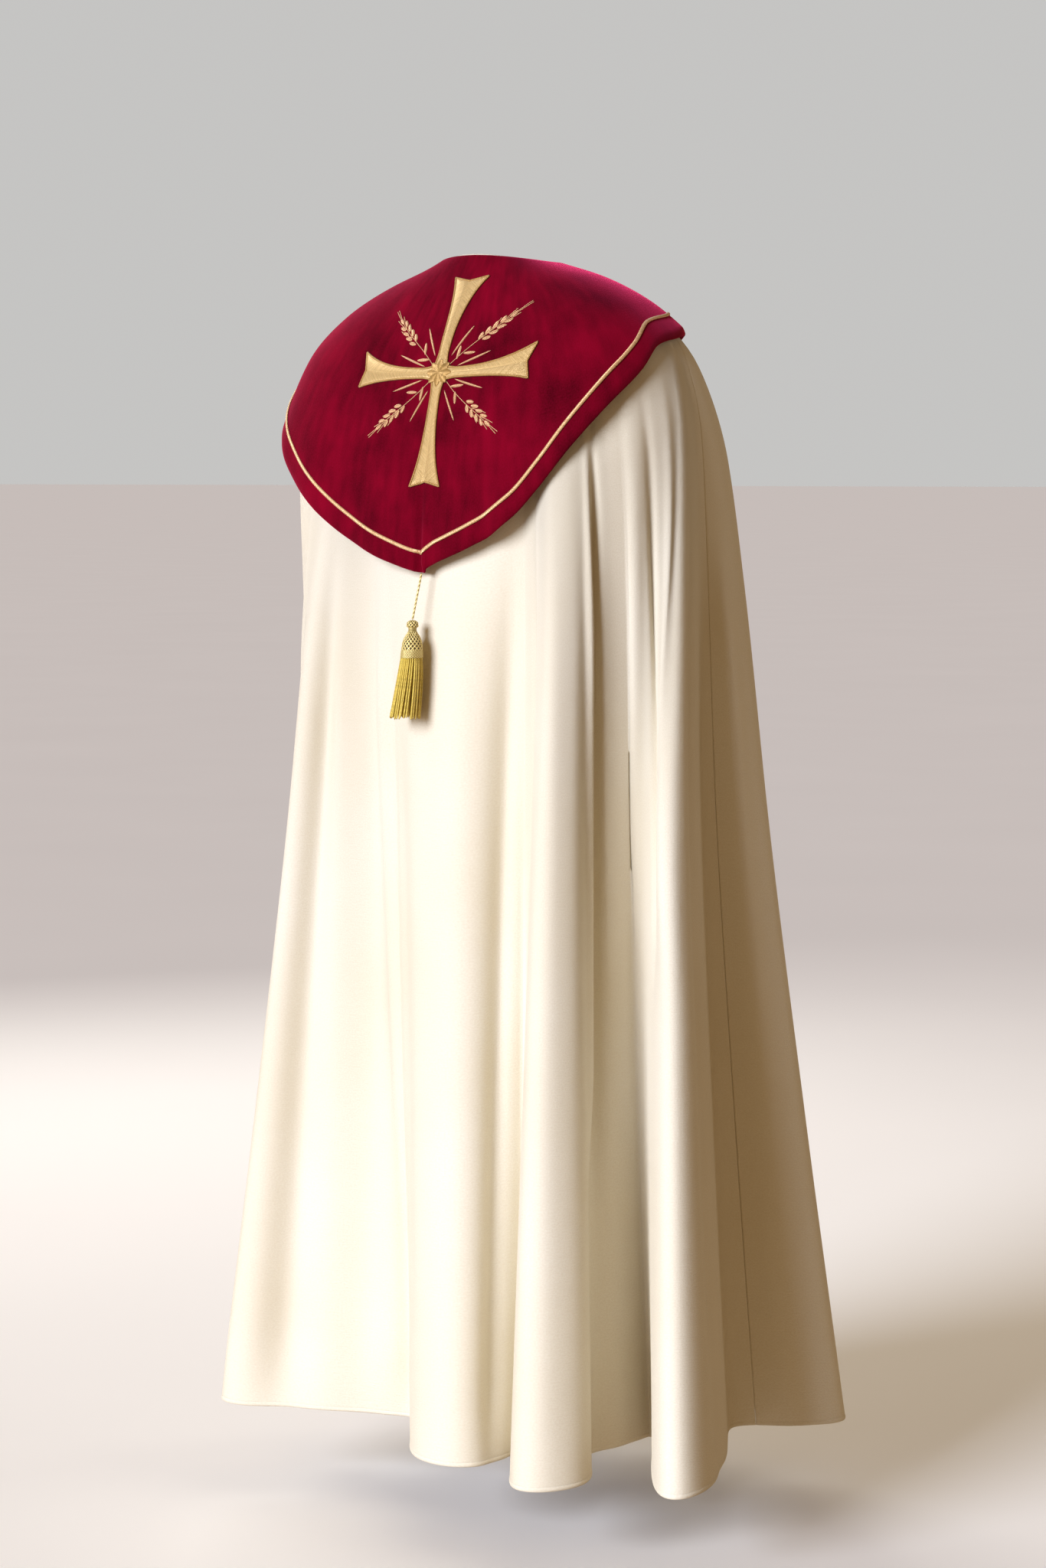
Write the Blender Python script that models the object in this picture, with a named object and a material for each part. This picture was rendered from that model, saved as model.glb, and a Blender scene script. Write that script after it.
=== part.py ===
"""Cope: a floor-length cape in three cut panels with a shield hood, braid, applied cross, tassel and tab.

Metres, +Z up. The back is towards +Y, the open front towards -Y, the wearer's left towards +X.
The origin is the middle of the neck opening, where the shoulders hold the garment.
"""
import math
import bmesh
import bpy
import numpy as np

# Named sizes
CLOTH = 0.0020            # wall of the cope cloth
VELVET = 0.0025           # wall of the hood
SEAM_GAP = 0.0003         # air between pieces that are sewn together
LAID_GAP = 0.0007         # air under a piece that lies on the hood
FOLD_START = 0.10         # share of the length where the folds begin
FOLD_EASE = 0.10          # how gently they begin
SEAM_TOP = 92.0           # angle of the side seams on the shoulders, 0 being the middle of the back

# The smooth form the cloth hangs on: a row per level, from the neck to the hem.
LEVEL_COLUMNS = ("share", "half_width", "back", "front", "z_back", "z_side", "z_front", "square")
LEVELS = np.array([
    (0.000, 0.074, 0.070, 0.085,  0.028,  0.016, -0.055, 2.00),
    (0.050, 0.142, 0.112, 0.128, -0.032, -0.008, -0.100, 2.20),
    (0.100, 0.208, 0.142, 0.155, -0.090, -0.046, -0.165, 2.40),
    (0.150, 0.250, 0.163, 0.172, -0.160, -0.092, -0.235, 2.60),
    (0.220, 0.276, 0.180, 0.186, -0.270, -0.190, -0.335, 2.85),
    (0.320, 0.286, 0.190, 0.215, -0.425, -0.345, -0.485, 2.85),
    (0.500, 0.300, 0.196, 0.260, -0.700, -0.630, -0.755, 2.70),
    (0.750, 0.332, 0.205, 0.290, -1.078, -1.034, -1.105, 2.55),
    (1.000, 0.368, 0.215, 0.310, -1.456, -1.438, -1.450, 2.50),
])

# A row per fold, from the left front edge round the back to the right front edge. Each crest and
# valley has the angle it hangs from on the shoulders, its angle and reach at the hem, and its width.
FOLD_COLUMNS = ("crest_top", "crest_angle", "crest_reach", "crest_width",
                "valley_top", "valley_angle", "valley_reach", "valley_width")
FOLDS = np.array([
    (174.0,  173.0, 0.365, 0.050,  162.0,  160.0, 0.270, 0.050),
    (150.0,  147.0, 0.405, 0.090,  136.0,  138.0, 0.265, 0.060),
    (119.0,  126.0, 0.415, 0.100,  103.0,  113.0, 0.265, 0.060),
    (79.0,   99.0, 0.360, 0.090,   55.0,   86.0, 0.235, 0.050),
    (38.0,   67.5, 0.388, 0.080,   22.0,   57.0, 0.108, 0.040),
    (-7.0,  -13.5, 0.206, 0.124,  -41.0,  -47.0, 0.125, 0.030),
    (-50.5, -44.0, 0.318, 0.150,  -59.0,  -66.0, 0.200, 0.030),
    (-61.5, -80.0, 0.212, 0.030,  -66.0,  -93.0, 0.215, 0.040),
    (-87.0, -65.0, 0.428, 0.122,  -92.0, -111.0, 0.290, 0.050),
    (-109.0, -123.0, 0.440, 0.100, -130.0, -138.0, 0.270, 0.060),
    (-147.0, -148.0, 0.410, 0.090, -160.0, -160.0, 0.270, 0.050),
])
FRONT_EDGE = (-174.0, -173.0, 0.365, 0.050)

# The hood's free edge: how far it reaches down from the neck at each angle, along the cloth. It is
# worn a little twisted, so its point and its two sides are given apart.
HOOD_TIP = -6.5
HOOD_COLUMNS = ("angle", "length")
HOOD_RIGHT = np.array([
    (-6.5, 0.422), (-10.5, 0.413), (-17.0, 0.406), (-25.5, 0.397), (-33.0, 0.386), (-38.5, 0.374),
    (-46.0, 0.345), (-53.5, 0.312), (-62.5, 0.279), (-73.5, 0.245), (-81.0, 0.218), (-92.5, 0.206),
    (-100.0, 0.192), (-115.0, 0.168), (-140.0, 0.142), (-172.0, 0.120),
])
HOOD_LEFT = np.array([
    (-6.5, 0.422), (-0.5, 0.418), (6.5, 0.412), (17.5, 0.402), (27.5, 0.390), (36.0, 0.378),
    (43.0, 0.367), (55.0, 0.346), (66.5, 0.322), (75.0, 0.297), (85.0, 0.262), (100.0, 0.220),
    (115.0, 0.182), (140.0, 0.148), (172.0, 0.120),
])
HOOD_NECK = 0.003         # share of the length at which the hood starts
HOOD_END = 172.0          # angle of its front edges
HOOD_LIFT = np.array([(0.0, 0.0045), (0.10, 0.0110), (0.20, 0.0180), (0.30, 0.0240)])
# Soft ridges and troughs near its edge: middle angle, amount, width in degrees, share it starts at.
HOOD_WAVES = ((-5.5, -0.0040, 5.5, 0.15), (-45.0, -0.0030, 7.0, 0.15), (-58.0, 0.0030, 8.0, 0.12),
              (68.0, 0.0045, 12.0, 0.14))

BRAID_WIDTH, BRAID_HIGH = 0.0050, 0.0012
BRAID_INSET, BRAID_MORE = 0.024, 0.010    # distance from the edge at the point, and more at the sides
BRAID_STEP, BRAID_END = 0.0078, 170.5     # between its points, and the angle where it stops at the front

# The cross lies on the hood's back. Each arm: share of its length, half width there.
CROSS_SHIFT = -0.020
CROSS_DOWN = 0.178
CROSS_UP, CROSS_WIDE, CROSS_FOOT = 0.135, 0.120, 0.140
CROSS_HIGH, CROSS_CLEFT = 0.0012, -0.006
CROSS_ARM = np.array([(0.0, 0.0085), (0.15, 0.0060), (0.35, 0.0065), (0.55, 0.0085), (0.75, 0.0125),
                      (0.90, 0.0175), (1.0, 0.0220)])

CORD_WIDE, CORD_STATIONS = 0.0026, 11
CORD_SEAT = 0.0005                        # the cord's end below the hood's point, where it is sewn on
TASSEL_HANG = (0.009, 0.0062, -0.0562)     # from the hood's point to the top of the tassel
TASSEL_SECTORS = 18
TASSEL_HEAD = np.array([(0.0012, 0.0040), (0.0040, 0.0065), (0.0075, 0.0070), (0.0105, 0.0050),
                        (0.0150, 0.0055), (0.0200, 0.0085), (0.0280, 0.0115), (0.0360, 0.0125),
                        (0.0380, 0.0132), (0.0450, 0.0136)])
TASSEL_SKIRT, TASSEL_SPREAD, TASSEL_UNEVEN = 0.074, 1.5, 0.0012
STRAND_RINGS = (0.70, 0.40)               # the rows of strands end at these shares of the head's radius
STRAND_STATIONS = (0.0, 0.45, 1.0)
STRAND_THIN, STRAND_SWELL = 0.72, 0.35    # a strand's width at its root, and how much it gains

TAB_TOP, TAB_FOOT, TAB_WALL = 0.115, 0.150, 0.0025     # shares of the length, and its thickness
TAB_REACH, TAB_LIFT = 0.165, 0.0009       # how far it runs onto each front, and the air under it
COPE_ROWS = np.array([0.0, 0.02, 0.045, 0.07, 0.10, 0.13, 0.165, 0.21, 0.27, 0.36, 0.50, 0.66, 0.83, 1.0])


def ease(knots, values, at):
    """Smooth line through a table's rows that never overshoots them."""
    k, y = np.asarray(knots, float), np.asarray(values, float)
    x = np.clip(np.asarray(at, float), k[0], k[-1])
    step = np.diff(k)
    slope = np.diff(y) / step
    tangent = np.zeros_like(y)
    rising = slope[:-1] * slope[1:] > 0
    before, after = 2 * step[1:] + step[:-1], step[1:] + 2 * step[:-1]
    safe_before = np.where(rising, slope[:-1], 1.0)
    safe_after = np.where(rising, slope[1:], 1.0)
    mean = (before + after) / (before / safe_before + after / safe_after)
    tangent[1:-1] = np.where(rising, mean, 0.0)
    tangent[0], tangent[-1] = slope[0], slope[-1]
    i = np.clip(np.searchsorted(k, x, side="right") - 1, 0, len(k) - 2)
    t = (x - k[i]) / step[i]
    return ((1 + 2 * t) * (1 - t) ** 2 * y[i] + t * (1 - t) ** 2 * step[i] * tangent[i]
            + t * t * (3 - 2 * t) * y[i + 1] + t * t * (t - 1) * step[i] * tangent[i + 1])


def level(share, name):
    return ease(LEVELS[:, 0], LEVELS[:, LEVEL_COLUMNS.index(name)], share)


def form(angle, share):
    """A point of the smooth form, at an angle round the body and a share of the length."""
    angle, share = np.broadcast_arrays(np.asarray(angle, float), np.asarray(share, float))
    s, c = np.sin(np.radians(angle)), np.cos(np.radians(angle))
    half, power = level(share, "half_width"), level(share, "square")
    deep = np.where(c > 0, level(share, "back"), level(share, "front"))
    radius = (np.abs(s / half) ** power + np.abs(c / deep) ** power) ** (-1 / power)
    z_side = level(share, "z_side")
    z_end = np.where(c > 0, level(share, "z_back"), level(share, "z_front"))
    z = z_side + (z_end - z_side) * (radius * c / deep) ** 2
    return np.stack([radius * s, radius * c, z], -1)


def spline(points, count):
    """Clamped cubic B-spline over a row of control points."""
    p = np.asarray(points, float)
    last = len(p) - 3
    knots = np.concatenate([[0.0] * 3, np.arange(last + 1), [float(last)] * 3])
    t = np.linspace(0, last, count)
    t[-1] -= 1e-9
    weight = [((knots[i] <= t) & (t < knots[i + 1])).astype(float) for i in range(len(knots) - 1)]
    for degree in range(1, 4):
        raised = []
        for i in range(len(weight) - 1):
            a, b = knots[i + degree] - knots[i], knots[i + degree + 1] - knots[i + 1]
            rise = (t - knots[i]) / a * weight[i] if a > 0 else 0 * t
            fall = (knots[i + degree + 1] - t) / b * weight[i + 1] if b > 0 else 0 * t
            raised.append(rise + fall)
        weight = raised
    return sum(weight[i][:, None] * p[i] for i in range(len(p)))


def hem_line(samples=6000):
    """The hem in plan by length along it, with the angle each point hangs from."""
    rows = [r[k:k + 4] for r in FOLDS for k in (0, 4)] + [np.array(FRONT_EDGE)]
    points = []
    for _, angle, reach, width in rows:
        a = math.radians(angle)
        middle = np.array([math.sin(a), math.cos(a)]) * reach
        along = np.array([-math.cos(a), math.sin(a)]) * width / 2
        points += [middle - along, middle + along]
    xy = spline(points, samples)
    length = np.concatenate([[0], np.cumsum(np.linalg.norm(np.diff(xy, axis=0), axis=1))])
    last = len(points) - 3
    mark = np.clip((2 * np.arange(len(rows)) + 0.5 - 1) / last, 0, 1)
    marks = np.interp(mark, np.linspace(0, 1, samples), length)
    marks[0], marks[-1] = 0.0, length[-1]
    tops = -ease(marks, [-r[0] for r in rows], length)
    return length, xy, tops, marks


LENGTH, HEM_XY, HEM_TOP, MARKS = hem_line()


SEAM_RIGHT = MARKS[17] + 0.040              # the right side seam runs down beside this valley
SEAM_LEFT = np.interp(-SEAM_TOP, -HEM_TOP, LENGTH)     # and the left one hangs from the same angle


def cope(place, share):
    """Points of the cope's cloth: place is the length along the hem, share the way down."""
    place, share = np.broadcast_arrays(np.asarray(place, float), np.asarray(share, float))
    foot = np.stack([np.interp(place, LENGTH, HEM_XY[:, k]) for k in (0, 1)], -1)
    top = np.interp(place, LENGTH, HEM_TOP)
    base, base_hem = form(top, share), form(top, np.ones_like(share))
    t = np.clip((share - FOLD_START) / (1 - FOLD_START), 0, 1)
    grow = t * t / (t + FOLD_EASE) * (1 + FOLD_EASE)
    hang = np.degrees(np.arctan2(foot[..., 0], foot[..., 1]))
    z_hem = form(hang, np.ones_like(share))[..., 2]
    point = base.copy()
    point[..., :2] += grow[..., None] * (foot - base_hem[..., :2])
    point[..., 2] += grow ** 2 * (z_hem - base_hem[..., 2])
    return point


def outward(surface, a, b, step_a, step_b):
    """Unit normals of a surface function, facing away from the body; a step towards the left is
    positive for an angle and negative for a place along the hem."""
    across = surface(a + step_a, b) - surface(a - step_a, b)
    down = surface(a, np.minimum(b + step_b, 1.0)) - surface(a, np.maximum(b - step_b, 0.0))
    n = np.cross(across, down)
    return n / np.linalg.norm(n, axis=-1, keepdims=True)


def hood_length(angle):
    """Length of the hood from the neck to its free edge; the two sides meet in a point."""
    right = ease(-HOOD_RIGHT[:, 0], HOOD_RIGHT[:, 1], -np.asarray(angle, float))
    left = ease(HOOD_LEFT[:, 0], HOOD_LEFT[:, 1], angle)
    return np.where(np.asarray(angle) < HOOD_TIP, right, left)


def hood(angle, share):
    """Points of the hood's outer face, standing off the form more and more towards its edge."""
    angle, share = np.broadcast_arrays(np.asarray(angle, float), np.asarray(share, float))
    n = outward(form, angle, share, 0.5, 0.002)
    lift = ease(HOOD_LIFT[:, 0], HOOD_LIFT[:, 1], share)
    for middle, amount, width, start in HOOD_WAVES:
        grow = np.clip((share - start) / (0.26 - start), 0, 1.2)
        lift = lift + amount * grow ** 1.5 * np.exp(-((angle - middle) / width) ** 2)
    return form(angle, share) + n * lift[..., None]


def hood_edge_share(angle):
    """Share of the length at which the hood ends, from its length along the cloth."""
    steps = np.linspace(0, 0.36, 181)
    angle = np.atleast_1d(np.asarray(angle, float))
    line = hood(angle[:, None], steps[None, :])
    run = np.linalg.norm(np.diff(line, axis=1), axis=2)
    run = np.concatenate([np.zeros((len(angle), 1)), np.cumsum(run, axis=1)], axis=1)
    return np.array([np.interp(want, r, steps) for want, r in zip(hood_length(angle), run)])


class Grid:
    """A surface's points on rows and columns; others are read off its flat faces."""

    def __init__(self, points, normals):
        self.points, self.normals = points, normals

    def at(self, column, row, lift):
        n, m = self.points.shape[:2]
        column, row = np.clip(column, 0, n - 1.000001), np.clip(row, 0, m - 1.000001)
        i, j = column.astype(int), row.astype(int)
        a, b = (column - i)[..., None], (row - j)[..., None]
        total = 0
        for grid, scale in ((self.points, 1.0), (self.normals, lift)):
            here, far = grid[i, j], grid[i + 1, j + 1]
            below, beside = grid[i, j + 1], grid[i + 1, j]
            lower = here + b * (below - here) + a * (far - below)
            upper = here + a * (beside - here) + b * (far - beside)
            total = total + np.where(b > a, lower, upper) * scale
        return total


HOOD_TURNS = np.concatenate([np.linspace(-HOOD_END, HOOD_TIP, 31), np.linspace(HOOD_TIP, HOOD_END, 32)[1:]])
HOOD_ROWS = np.array([0.0, 0.06, 0.13, 0.21, 0.30, 0.40, 0.51, 0.62, 0.73, 0.83, 0.92, 1.0])


def hood_grid():
    last = hood_edge_share(HOOD_TURNS)
    share = HOOD_NECK + (last - HOOD_NECK)[:, None] * HOOD_ROWS[None, :]
    turn = HOOD_TURNS[:, None] + 0 * share
    return Grid(hood(turn, share), outward(hood, turn, share, 0.8, 0.002)), last


HOOD_GRID, HOOD_LAST = hood_grid()


def on_hood(angle, share, lift):
    """A point on the hood's modelled face, moved out by lift."""
    angle, share = np.broadcast_arrays(np.asarray(angle, float), np.asarray(share, float))
    column = np.interp(angle, HOOD_TURNS, np.arange(len(HOOD_TURNS)))
    last = np.interp(angle, HOOD_TURNS, HOOD_LAST)
    row = np.interp((share - HOOD_NECK) / (last - HOOD_NECK), HOOD_ROWS, np.arange(len(HOOD_ROWS)))
    return HOOD_GRID.at(column, row, lift)


def on_back(sideways, down, lift):
    """A point on the hood's back: metres to the wearer's left of its middle, metres down from the neck."""
    steps = np.linspace(0, 0.34, 171)
    spine = hood(HOOD_TIP + 0 * steps, steps)
    run = np.concatenate([[0], np.cumsum(np.linalg.norm(np.diff(spine, axis=0), axis=1))])
    share = np.interp(down, run, steps)
    x = sideways + CROSS_SHIFT
    half, deep, power = level(share, "half_width"), level(share, "back"), level(share, "square")
    y = deep * (1 - np.abs(x / half) ** power) ** (1 / power)
    return on_hood(np.degrees(np.arctan2(x, y)), share, lift)


def braid_line(angle):
    """Share of the length at which the braid runs, inside the hood's edge."""
    steps = np.linspace(0, 0.36, 181)
    out = []
    for a, want in zip(angle, hood_length(angle)):
        line = hood(np.full_like(steps, a), steps)
        run = np.concatenate([[0], np.cumsum(np.linalg.norm(np.diff(line, axis=0), axis=1))])
        inset = BRAID_INSET + BRAID_MORE * min(abs(a - HOOD_TIP) / 60, 1)
        out.append(np.interp(want - inset, run, steps))
    return np.array(out)


def columns(start, stop, spacing=0.09, turning=52.0, fanning=6.5):
    """Places along the hem, closer where it bends and where the shoulders are far apart."""
    inside = (LENGTH > start) & (LENGTH < stop)
    s = np.concatenate([[start], LENGTH[inside], [stop]])
    xy = np.stack([np.interp(s, LENGTH, HEM_XY[:, k]) for k in (0, 1)], -1)
    step = np.diff(xy, axis=0)
    heading = np.unwrap(np.arctan2(step[:, 1], step[:, 0]))
    turned = np.concatenate([[0], np.abs(np.diff(heading)), [0]])
    fan = np.abs(np.interp(s, LENGTH, HEM_TOP) - np.interp(start, LENGTH, HEM_TOP))
    run = (s - s[0]) / spacing + np.cumsum(turned) / math.radians(turning) + fan / fanning
    return np.interp(np.linspace(0, run[-1], int(round(run[-1])) + 1), run, s)


# BUILD
for item in list(bpy.data.objects):
    bpy.data.objects.remove(item, do_unlink=True)


def paint(item, name, colour, roughness, metal=0.0):
    material = bpy.data.materials.new(name)
    material.use_nodes = True
    shader = material.node_tree.nodes["Principled BSDF"]
    shader.inputs["Base Color"].default_value = (*colour, 1)
    shader.inputs["Roughness"].default_value = roughness
    shader.inputs["Metallic"].default_value = metal
    item.data.materials.append(material)


def solid(name, vertices, faces, colour, roughness, metal=0.0):
    """A named closed body from its points and faces."""
    mesh = bpy.data.meshes.new(name)
    mesh.from_pydata([tuple(map(float, v)) for v in vertices], [], faces)
    bm = bmesh.new()
    bm.from_mesh(mesh)
    bmesh.ops.recalc_face_normals(bm, faces=bm.faces)
    if bm.calc_volume(signed=True) < 0:
        bmesh.ops.reverse_faces(bm, faces=bm.faces)
    bm.to_mesh(mesh)
    bm.free()
    item = bpy.data.objects.new(name, mesh)
    bpy.context.collection.objects.link(item)
    paint(item, name, colour, roughness, metal)
    return item


def wall(name, outer, inner, colour, roughness, metal=0.0):
    """A closed wall between two grids of points of the same size."""
    n, m = outer.shape[:2]
    vertices = np.concatenate([outer.reshape(-1, 3), inner.reshape(-1, 3)])
    faces = []
    for i in range(n - 1):
        for j in range(m - 1):
            a, b, c, d = i * m + j, i * m + j + 1, (i + 1) * m + j + 1, (i + 1) * m + j
            faces += [(a, b, c), (a, c, d)]
            a, b, c, d = a + n * m, b + n * m, c + n * m, d + n * m
            faces += [(a, c, b), (a, d, c)]
    rim = [i * m for i in range(n)] + [(n - 1) * m + j for j in range(1, m)]
    rim += [i * m + m - 1 for i in range(n - 2, -1, -1)] + [j for j in range(m - 2, 0, -1)]
    for a, b in zip(rim, rim[1:] + rim[:1]):
        if a < b:
            faces += [(a, b, b + n * m), (a, b + n * m, a + n * m)]
        else:
            faces += [(a, b, a + n * m), (b, b + n * m, a + n * m)]
    return solid(name, vertices, faces, colour, roughness, metal)


def cope_panel(name, start, stop, gap_start, gap_stop):
    """One cut panel; a sewn side is drawn back so that it clears its neighbour."""
    place = columns(start, stop)[:, None]
    share = COPE_ROWS[None, :]
    middle = cope(place, share)
    n = outward(cope, place + 0 * share, share + 0 * place, -0.0008, 0.002)
    for end, near, gap in ((0, 1, gap_start), (-1, -2, gap_stop)):
        inwards = middle[near] - middle[end]
        inwards = inwards / np.linalg.norm(inwards, axis=-1, keepdims=True)
        middle[end] += inwards * gap / 2
    return wall(name, middle + n * CLOTH / 2, middle - n * CLOTH / 2, IVORY, 0.75)


IVORY, CRIMSON, GOLD = (0.86, 0.80, 0.68), (0.20, 0.003, 0.016), (0.66, 0.47, 0.20)

cope_panel("cope_front_left", 0.0, SEAM_LEFT, 0.0, SEAM_GAP)
cope_panel("cope_back", SEAM_LEFT, SEAM_RIGHT, SEAM_GAP, SEAM_GAP)
cope_panel("cope_front_right", SEAM_RIGHT, LENGTH[-1], SEAM_GAP, 0.0)

wall("hood", HOOD_GRID.points, HOOD_GRID.points - HOOD_GRID.normals * VELVET, CRIMSON, 0.9)


def band(name, centre, up, width, low, high, colour):
    """A flat strip along a line of points, between two heights above it."""
    along = np.gradient(centre, axis=0)
    side = np.cross(up, along)
    side = side / np.linalg.norm(side, axis=1, keepdims=True) * width / 2
    corners = np.stack([centre - side + up * low, centre + side + up * low,
                        centre + side + up * high, centre - side + up * high], 1)
    faces = [(0, 1, 2, 3), tuple((len(centre) - 1) * 4 + k for k in (3, 2, 1, 0))]
    for i in range(len(centre) - 1):
        for k in range(4):
            a, b = i * 4 + k, i * 4 + (k + 1) % 4
            faces.append((a, a + 4, b + 4, b))
    return solid(name, corners.reshape(-1, 3), faces, colour, 0.45, 0.3)


def even_angles(share_of, low, high, spacing):
    """Angles at even distances along a line on the hood."""
    dense = np.linspace(low, high, 500)
    line = on_hood(dense, share_of(dense), 0.0)
    run = np.concatenate([[0], np.cumsum(np.linalg.norm(np.diff(line, axis=0), axis=1))])
    return np.interp(np.linspace(0, run[-1], int(run[-1] / spacing)), run, dense)


def hood_braid():
    """A flat braid laid round the hood, inside its free edge."""
    turns = even_angles(braid_line, -BRAID_END, BRAID_END, BRAID_STEP)
    shares = braid_line(turns)
    line = on_hood(turns, shares, 0.0)
    up = on_hood(turns, shares, 1.0) - line
    up = up / np.linalg.norm(up, axis=1, keepdims=True)
    return band("hood_braid", line, up, BRAID_WIDTH, LAID_GAP, LAID_GAP + BRAID_HIGH, GOLD)


hood_braid()


def applied_cross():
    """A plain splayed cross: four arms of varying width from a square middle."""
    low, high = LAID_GAP, LAID_GAP + CROSS_HIGH
    vertices, faces = [], []
    core = CROSS_ARM[0, 1]
    across = np.linspace(-1, 1, 5)

    def add(sideways, down):
        point = [on_back(np.array(sideways), np.array(CROSS_DOWN + down), lift) for lift in (low, high)]
        vertices.extend(point)
        return len(vertices) - 2

    def sheet(ring):
        faces.append(tuple(ring))
        faces.append(tuple(r + 1 for r in reversed(ring)))

    middle = [[add(a * core, b * core) for a in across] for b in across]
    for upper, lower in zip(middle, middle[1:]):
        for k in range(4):
            sheet([upper[k], upper[k + 1], lower[k + 1], lower[k]])
    sides = [middle[0], [row[-1] for row in middle], middle[-1][::-1], [row[0] for row in middle][::-1]]
    headings = ((0, -1), (1, 0), (0, 1), (-1, 0))
    lengths = (CROSS_UP, CROSS_WIDE, CROSS_FOOT, CROSS_WIDE)
    for previous, (hx, hy), length in zip(sides, headings, lengths):
        for reach in np.linspace(0, 1, 14)[1:]:
            half = float(ease(CROSS_ARM[:, 0], CROSS_ARM[:, 1], reach))
            row = []
            for a in across:
                out = core + (length - core) * reach + CROSS_CLEFT * (1 - abs(a)) * reach ** 6
                row.append(add(hx * out - hy * a * half, hy * out + hx * a * half))
            for k in range(4):
                sheet([previous[k], previous[k + 1], row[k + 1], row[k]])
            for k in (0, 4):
                faces.append((previous[k], row[k], row[k] + 1, previous[k] + 1))
            previous = row
        for k in range(4):
            faces.append((previous[k], previous[k + 1], previous[k + 1] + 1, previous[k] + 1))
    return solid("hood_cross", vertices, faces, GOLD, 0.45, 0.3)


applied_cross()

# The middle of the hood's wall at its point, and the top of the tassel that hangs from it.
TIP = hood(HOOD_TIP, HOOD_LAST[np.argmin(np.abs(HOOD_TURNS - HOOD_TIP))]).reshape(3)
TIP = TIP - np.array([0.0, VELVET / 2, 0.0])
KNOB_TOP = TIP + np.array(TASSEL_HANG)


def tassel_cord():
    """A short cord from the hood's point down to the tassel, just clear of both."""
    curve = bpy.data.curves.new("tassel_cord", "CURVE")
    curve.dimensions = "3D"
    curve.bevel_depth = CORD_WIDE / 2
    curve.bevel_resolution = 2
    curve.use_fill_caps = True
    run = curve.splines.new("POLY")
    run.points.add(CORD_STATIONS - 1)
    start, end = TIP - np.array([0, 0, CORD_SEAT]), KNOB_TOP + np.array([0, 0, SEAM_GAP])
    for k in range(CORD_STATIONS):
        run.points[k].co = (*(start + (end - start) * k / (CORD_STATIONS - 1)), 1)
    cord = bpy.data.objects.new("tassel_cord", curve)
    bpy.context.collection.objects.link(cord)
    paint(cord, "tassel_cord", GOLD, 0.5, 0.3)


tassel_cord()


def tassel():
    """Turned head with a ring of cut cords growing from its underside."""
    sectors = TASSEL_SECTORS
    vertices, faces = [KNOB_TOP.copy()], []
    rings = []

    def circle(radius, drop):
        first = len(vertices)
        for k in range(sectors):
            a = 2 * math.pi * k / sectors
            vertices.append(KNOB_TOP + np.array([radius * math.cos(a), radius * math.sin(a), -drop]))
        return [first + k for k in range(sectors)]

    for drop, radius in TASSEL_HEAD:
        rings.append(circle(radius, drop))
    for k in range(sectors):
        faces.append((0, rings[0][k], rings[0][(k + 1) % sectors]))
    for upper, lower in zip(rings, rings[1:]):
        for k in range(sectors):
            nxt = (k + 1) % sectors
            faces.append((upper[k], lower[k], lower[nxt], upper[nxt]))
    drop = TASSEL_HEAD[-1, 0]
    inner = [circle(TASSEL_HEAD[-1, 1] * f, drop) for f in STRAND_RINGS]
    under = [rings[-1]] + inner
    for depth, (outer_ring, inner_ring) in enumerate(zip(under, under[1:])):
        for k in range(sectors):
            nxt = (k + 1) % sectors
            cell = [outer_ring[k], inner_ring[k], inner_ring[nxt], outer_ring[nxt]]
            middle = sum(vertices[c] for c in cell) / 4
            levels = [cell]
            short = TASSEL_UNEVEN * math.sin(2.3 * k + 1.9 * depth)
            for part in STRAND_STATIONS:
                row = []
                for c in cell:
                    flat = (vertices[c] - KNOB_TOP) * np.array([1, 1, 0])
                    centre = (middle - KNOB_TOP) * np.array([1, 1, 0])
                    spread = 1 + (TASSEL_SPREAD - 1) * part
                    point = centre * spread + (flat - centre) * (STRAND_THIN + STRAND_SWELL * part)
                    point = point - np.array([0, 0, drop + (TASSEL_SKIRT + short) * part])
                    row.append(len(vertices))
                    vertices.append(KNOB_TOP + point)
                levels.append(row)
            for upper, lower in zip(levels, levels[1:]):
                for c in range(4):
                    d = (c + 1) % 4
                    faces.append((upper[c], upper[d], lower[d], lower[c]))
            faces.append(tuple(levels[-1]))
    faces.append(tuple(reversed(inner[-1])))
    return solid("tassel", vertices, faces, GOLD, 0.5, 0.3)


tassel()


def chest_tab():
    """Plain tab sewn over both front edges at the chest, holding the cope closed."""
    across, down = np.linspace(TAB_REACH, 0.0, 5), np.linspace(TAB_TOP, TAB_FOOT, 5)
    reach, share = np.meshgrid(across, down, indexing="ij")
    left, right = cope(reach, share), cope(LENGTH[-1] - reach[::-1], share)
    n_left = outward(cope, reach + 0.001, share, -0.0008, 0.002)
    n_right = outward(cope, LENGTH[-1] - 0.001 - reach[::-1], share, -0.0008, 0.002)
    bridge = np.array([0.25, 0.5, 0.75])[:, None, None]
    middle = left[-1][None] * (1 - bridge) + right[0][None] * bridge
    n_across = n_left[-1][None] * (1 - bridge) + n_right[0][None] * bridge
    n_across = n_across / np.linalg.norm(n_across, axis=-1, keepdims=True)
    middle = np.concatenate([left, middle, right])
    n = np.concatenate([n_left, n_across, n_right])
    low = CLOTH / 2 + TAB_LIFT
    return wall("chest_tab", middle + n * (low + TAB_WALL), middle + n * low, IVORY, 0.75)


chest_tab()
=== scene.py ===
"""Looks of a worn cope: ivory cloth, velvet hood, gold braid, raised cross, ears of corn and a tassel.

Metres, +Z up. The back is towards +Y, the open front towards -Y, the wearer's left towards +X.
The origin is the middle of the neck opening. Every surface is a function of two parameters.
"""
import math

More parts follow.
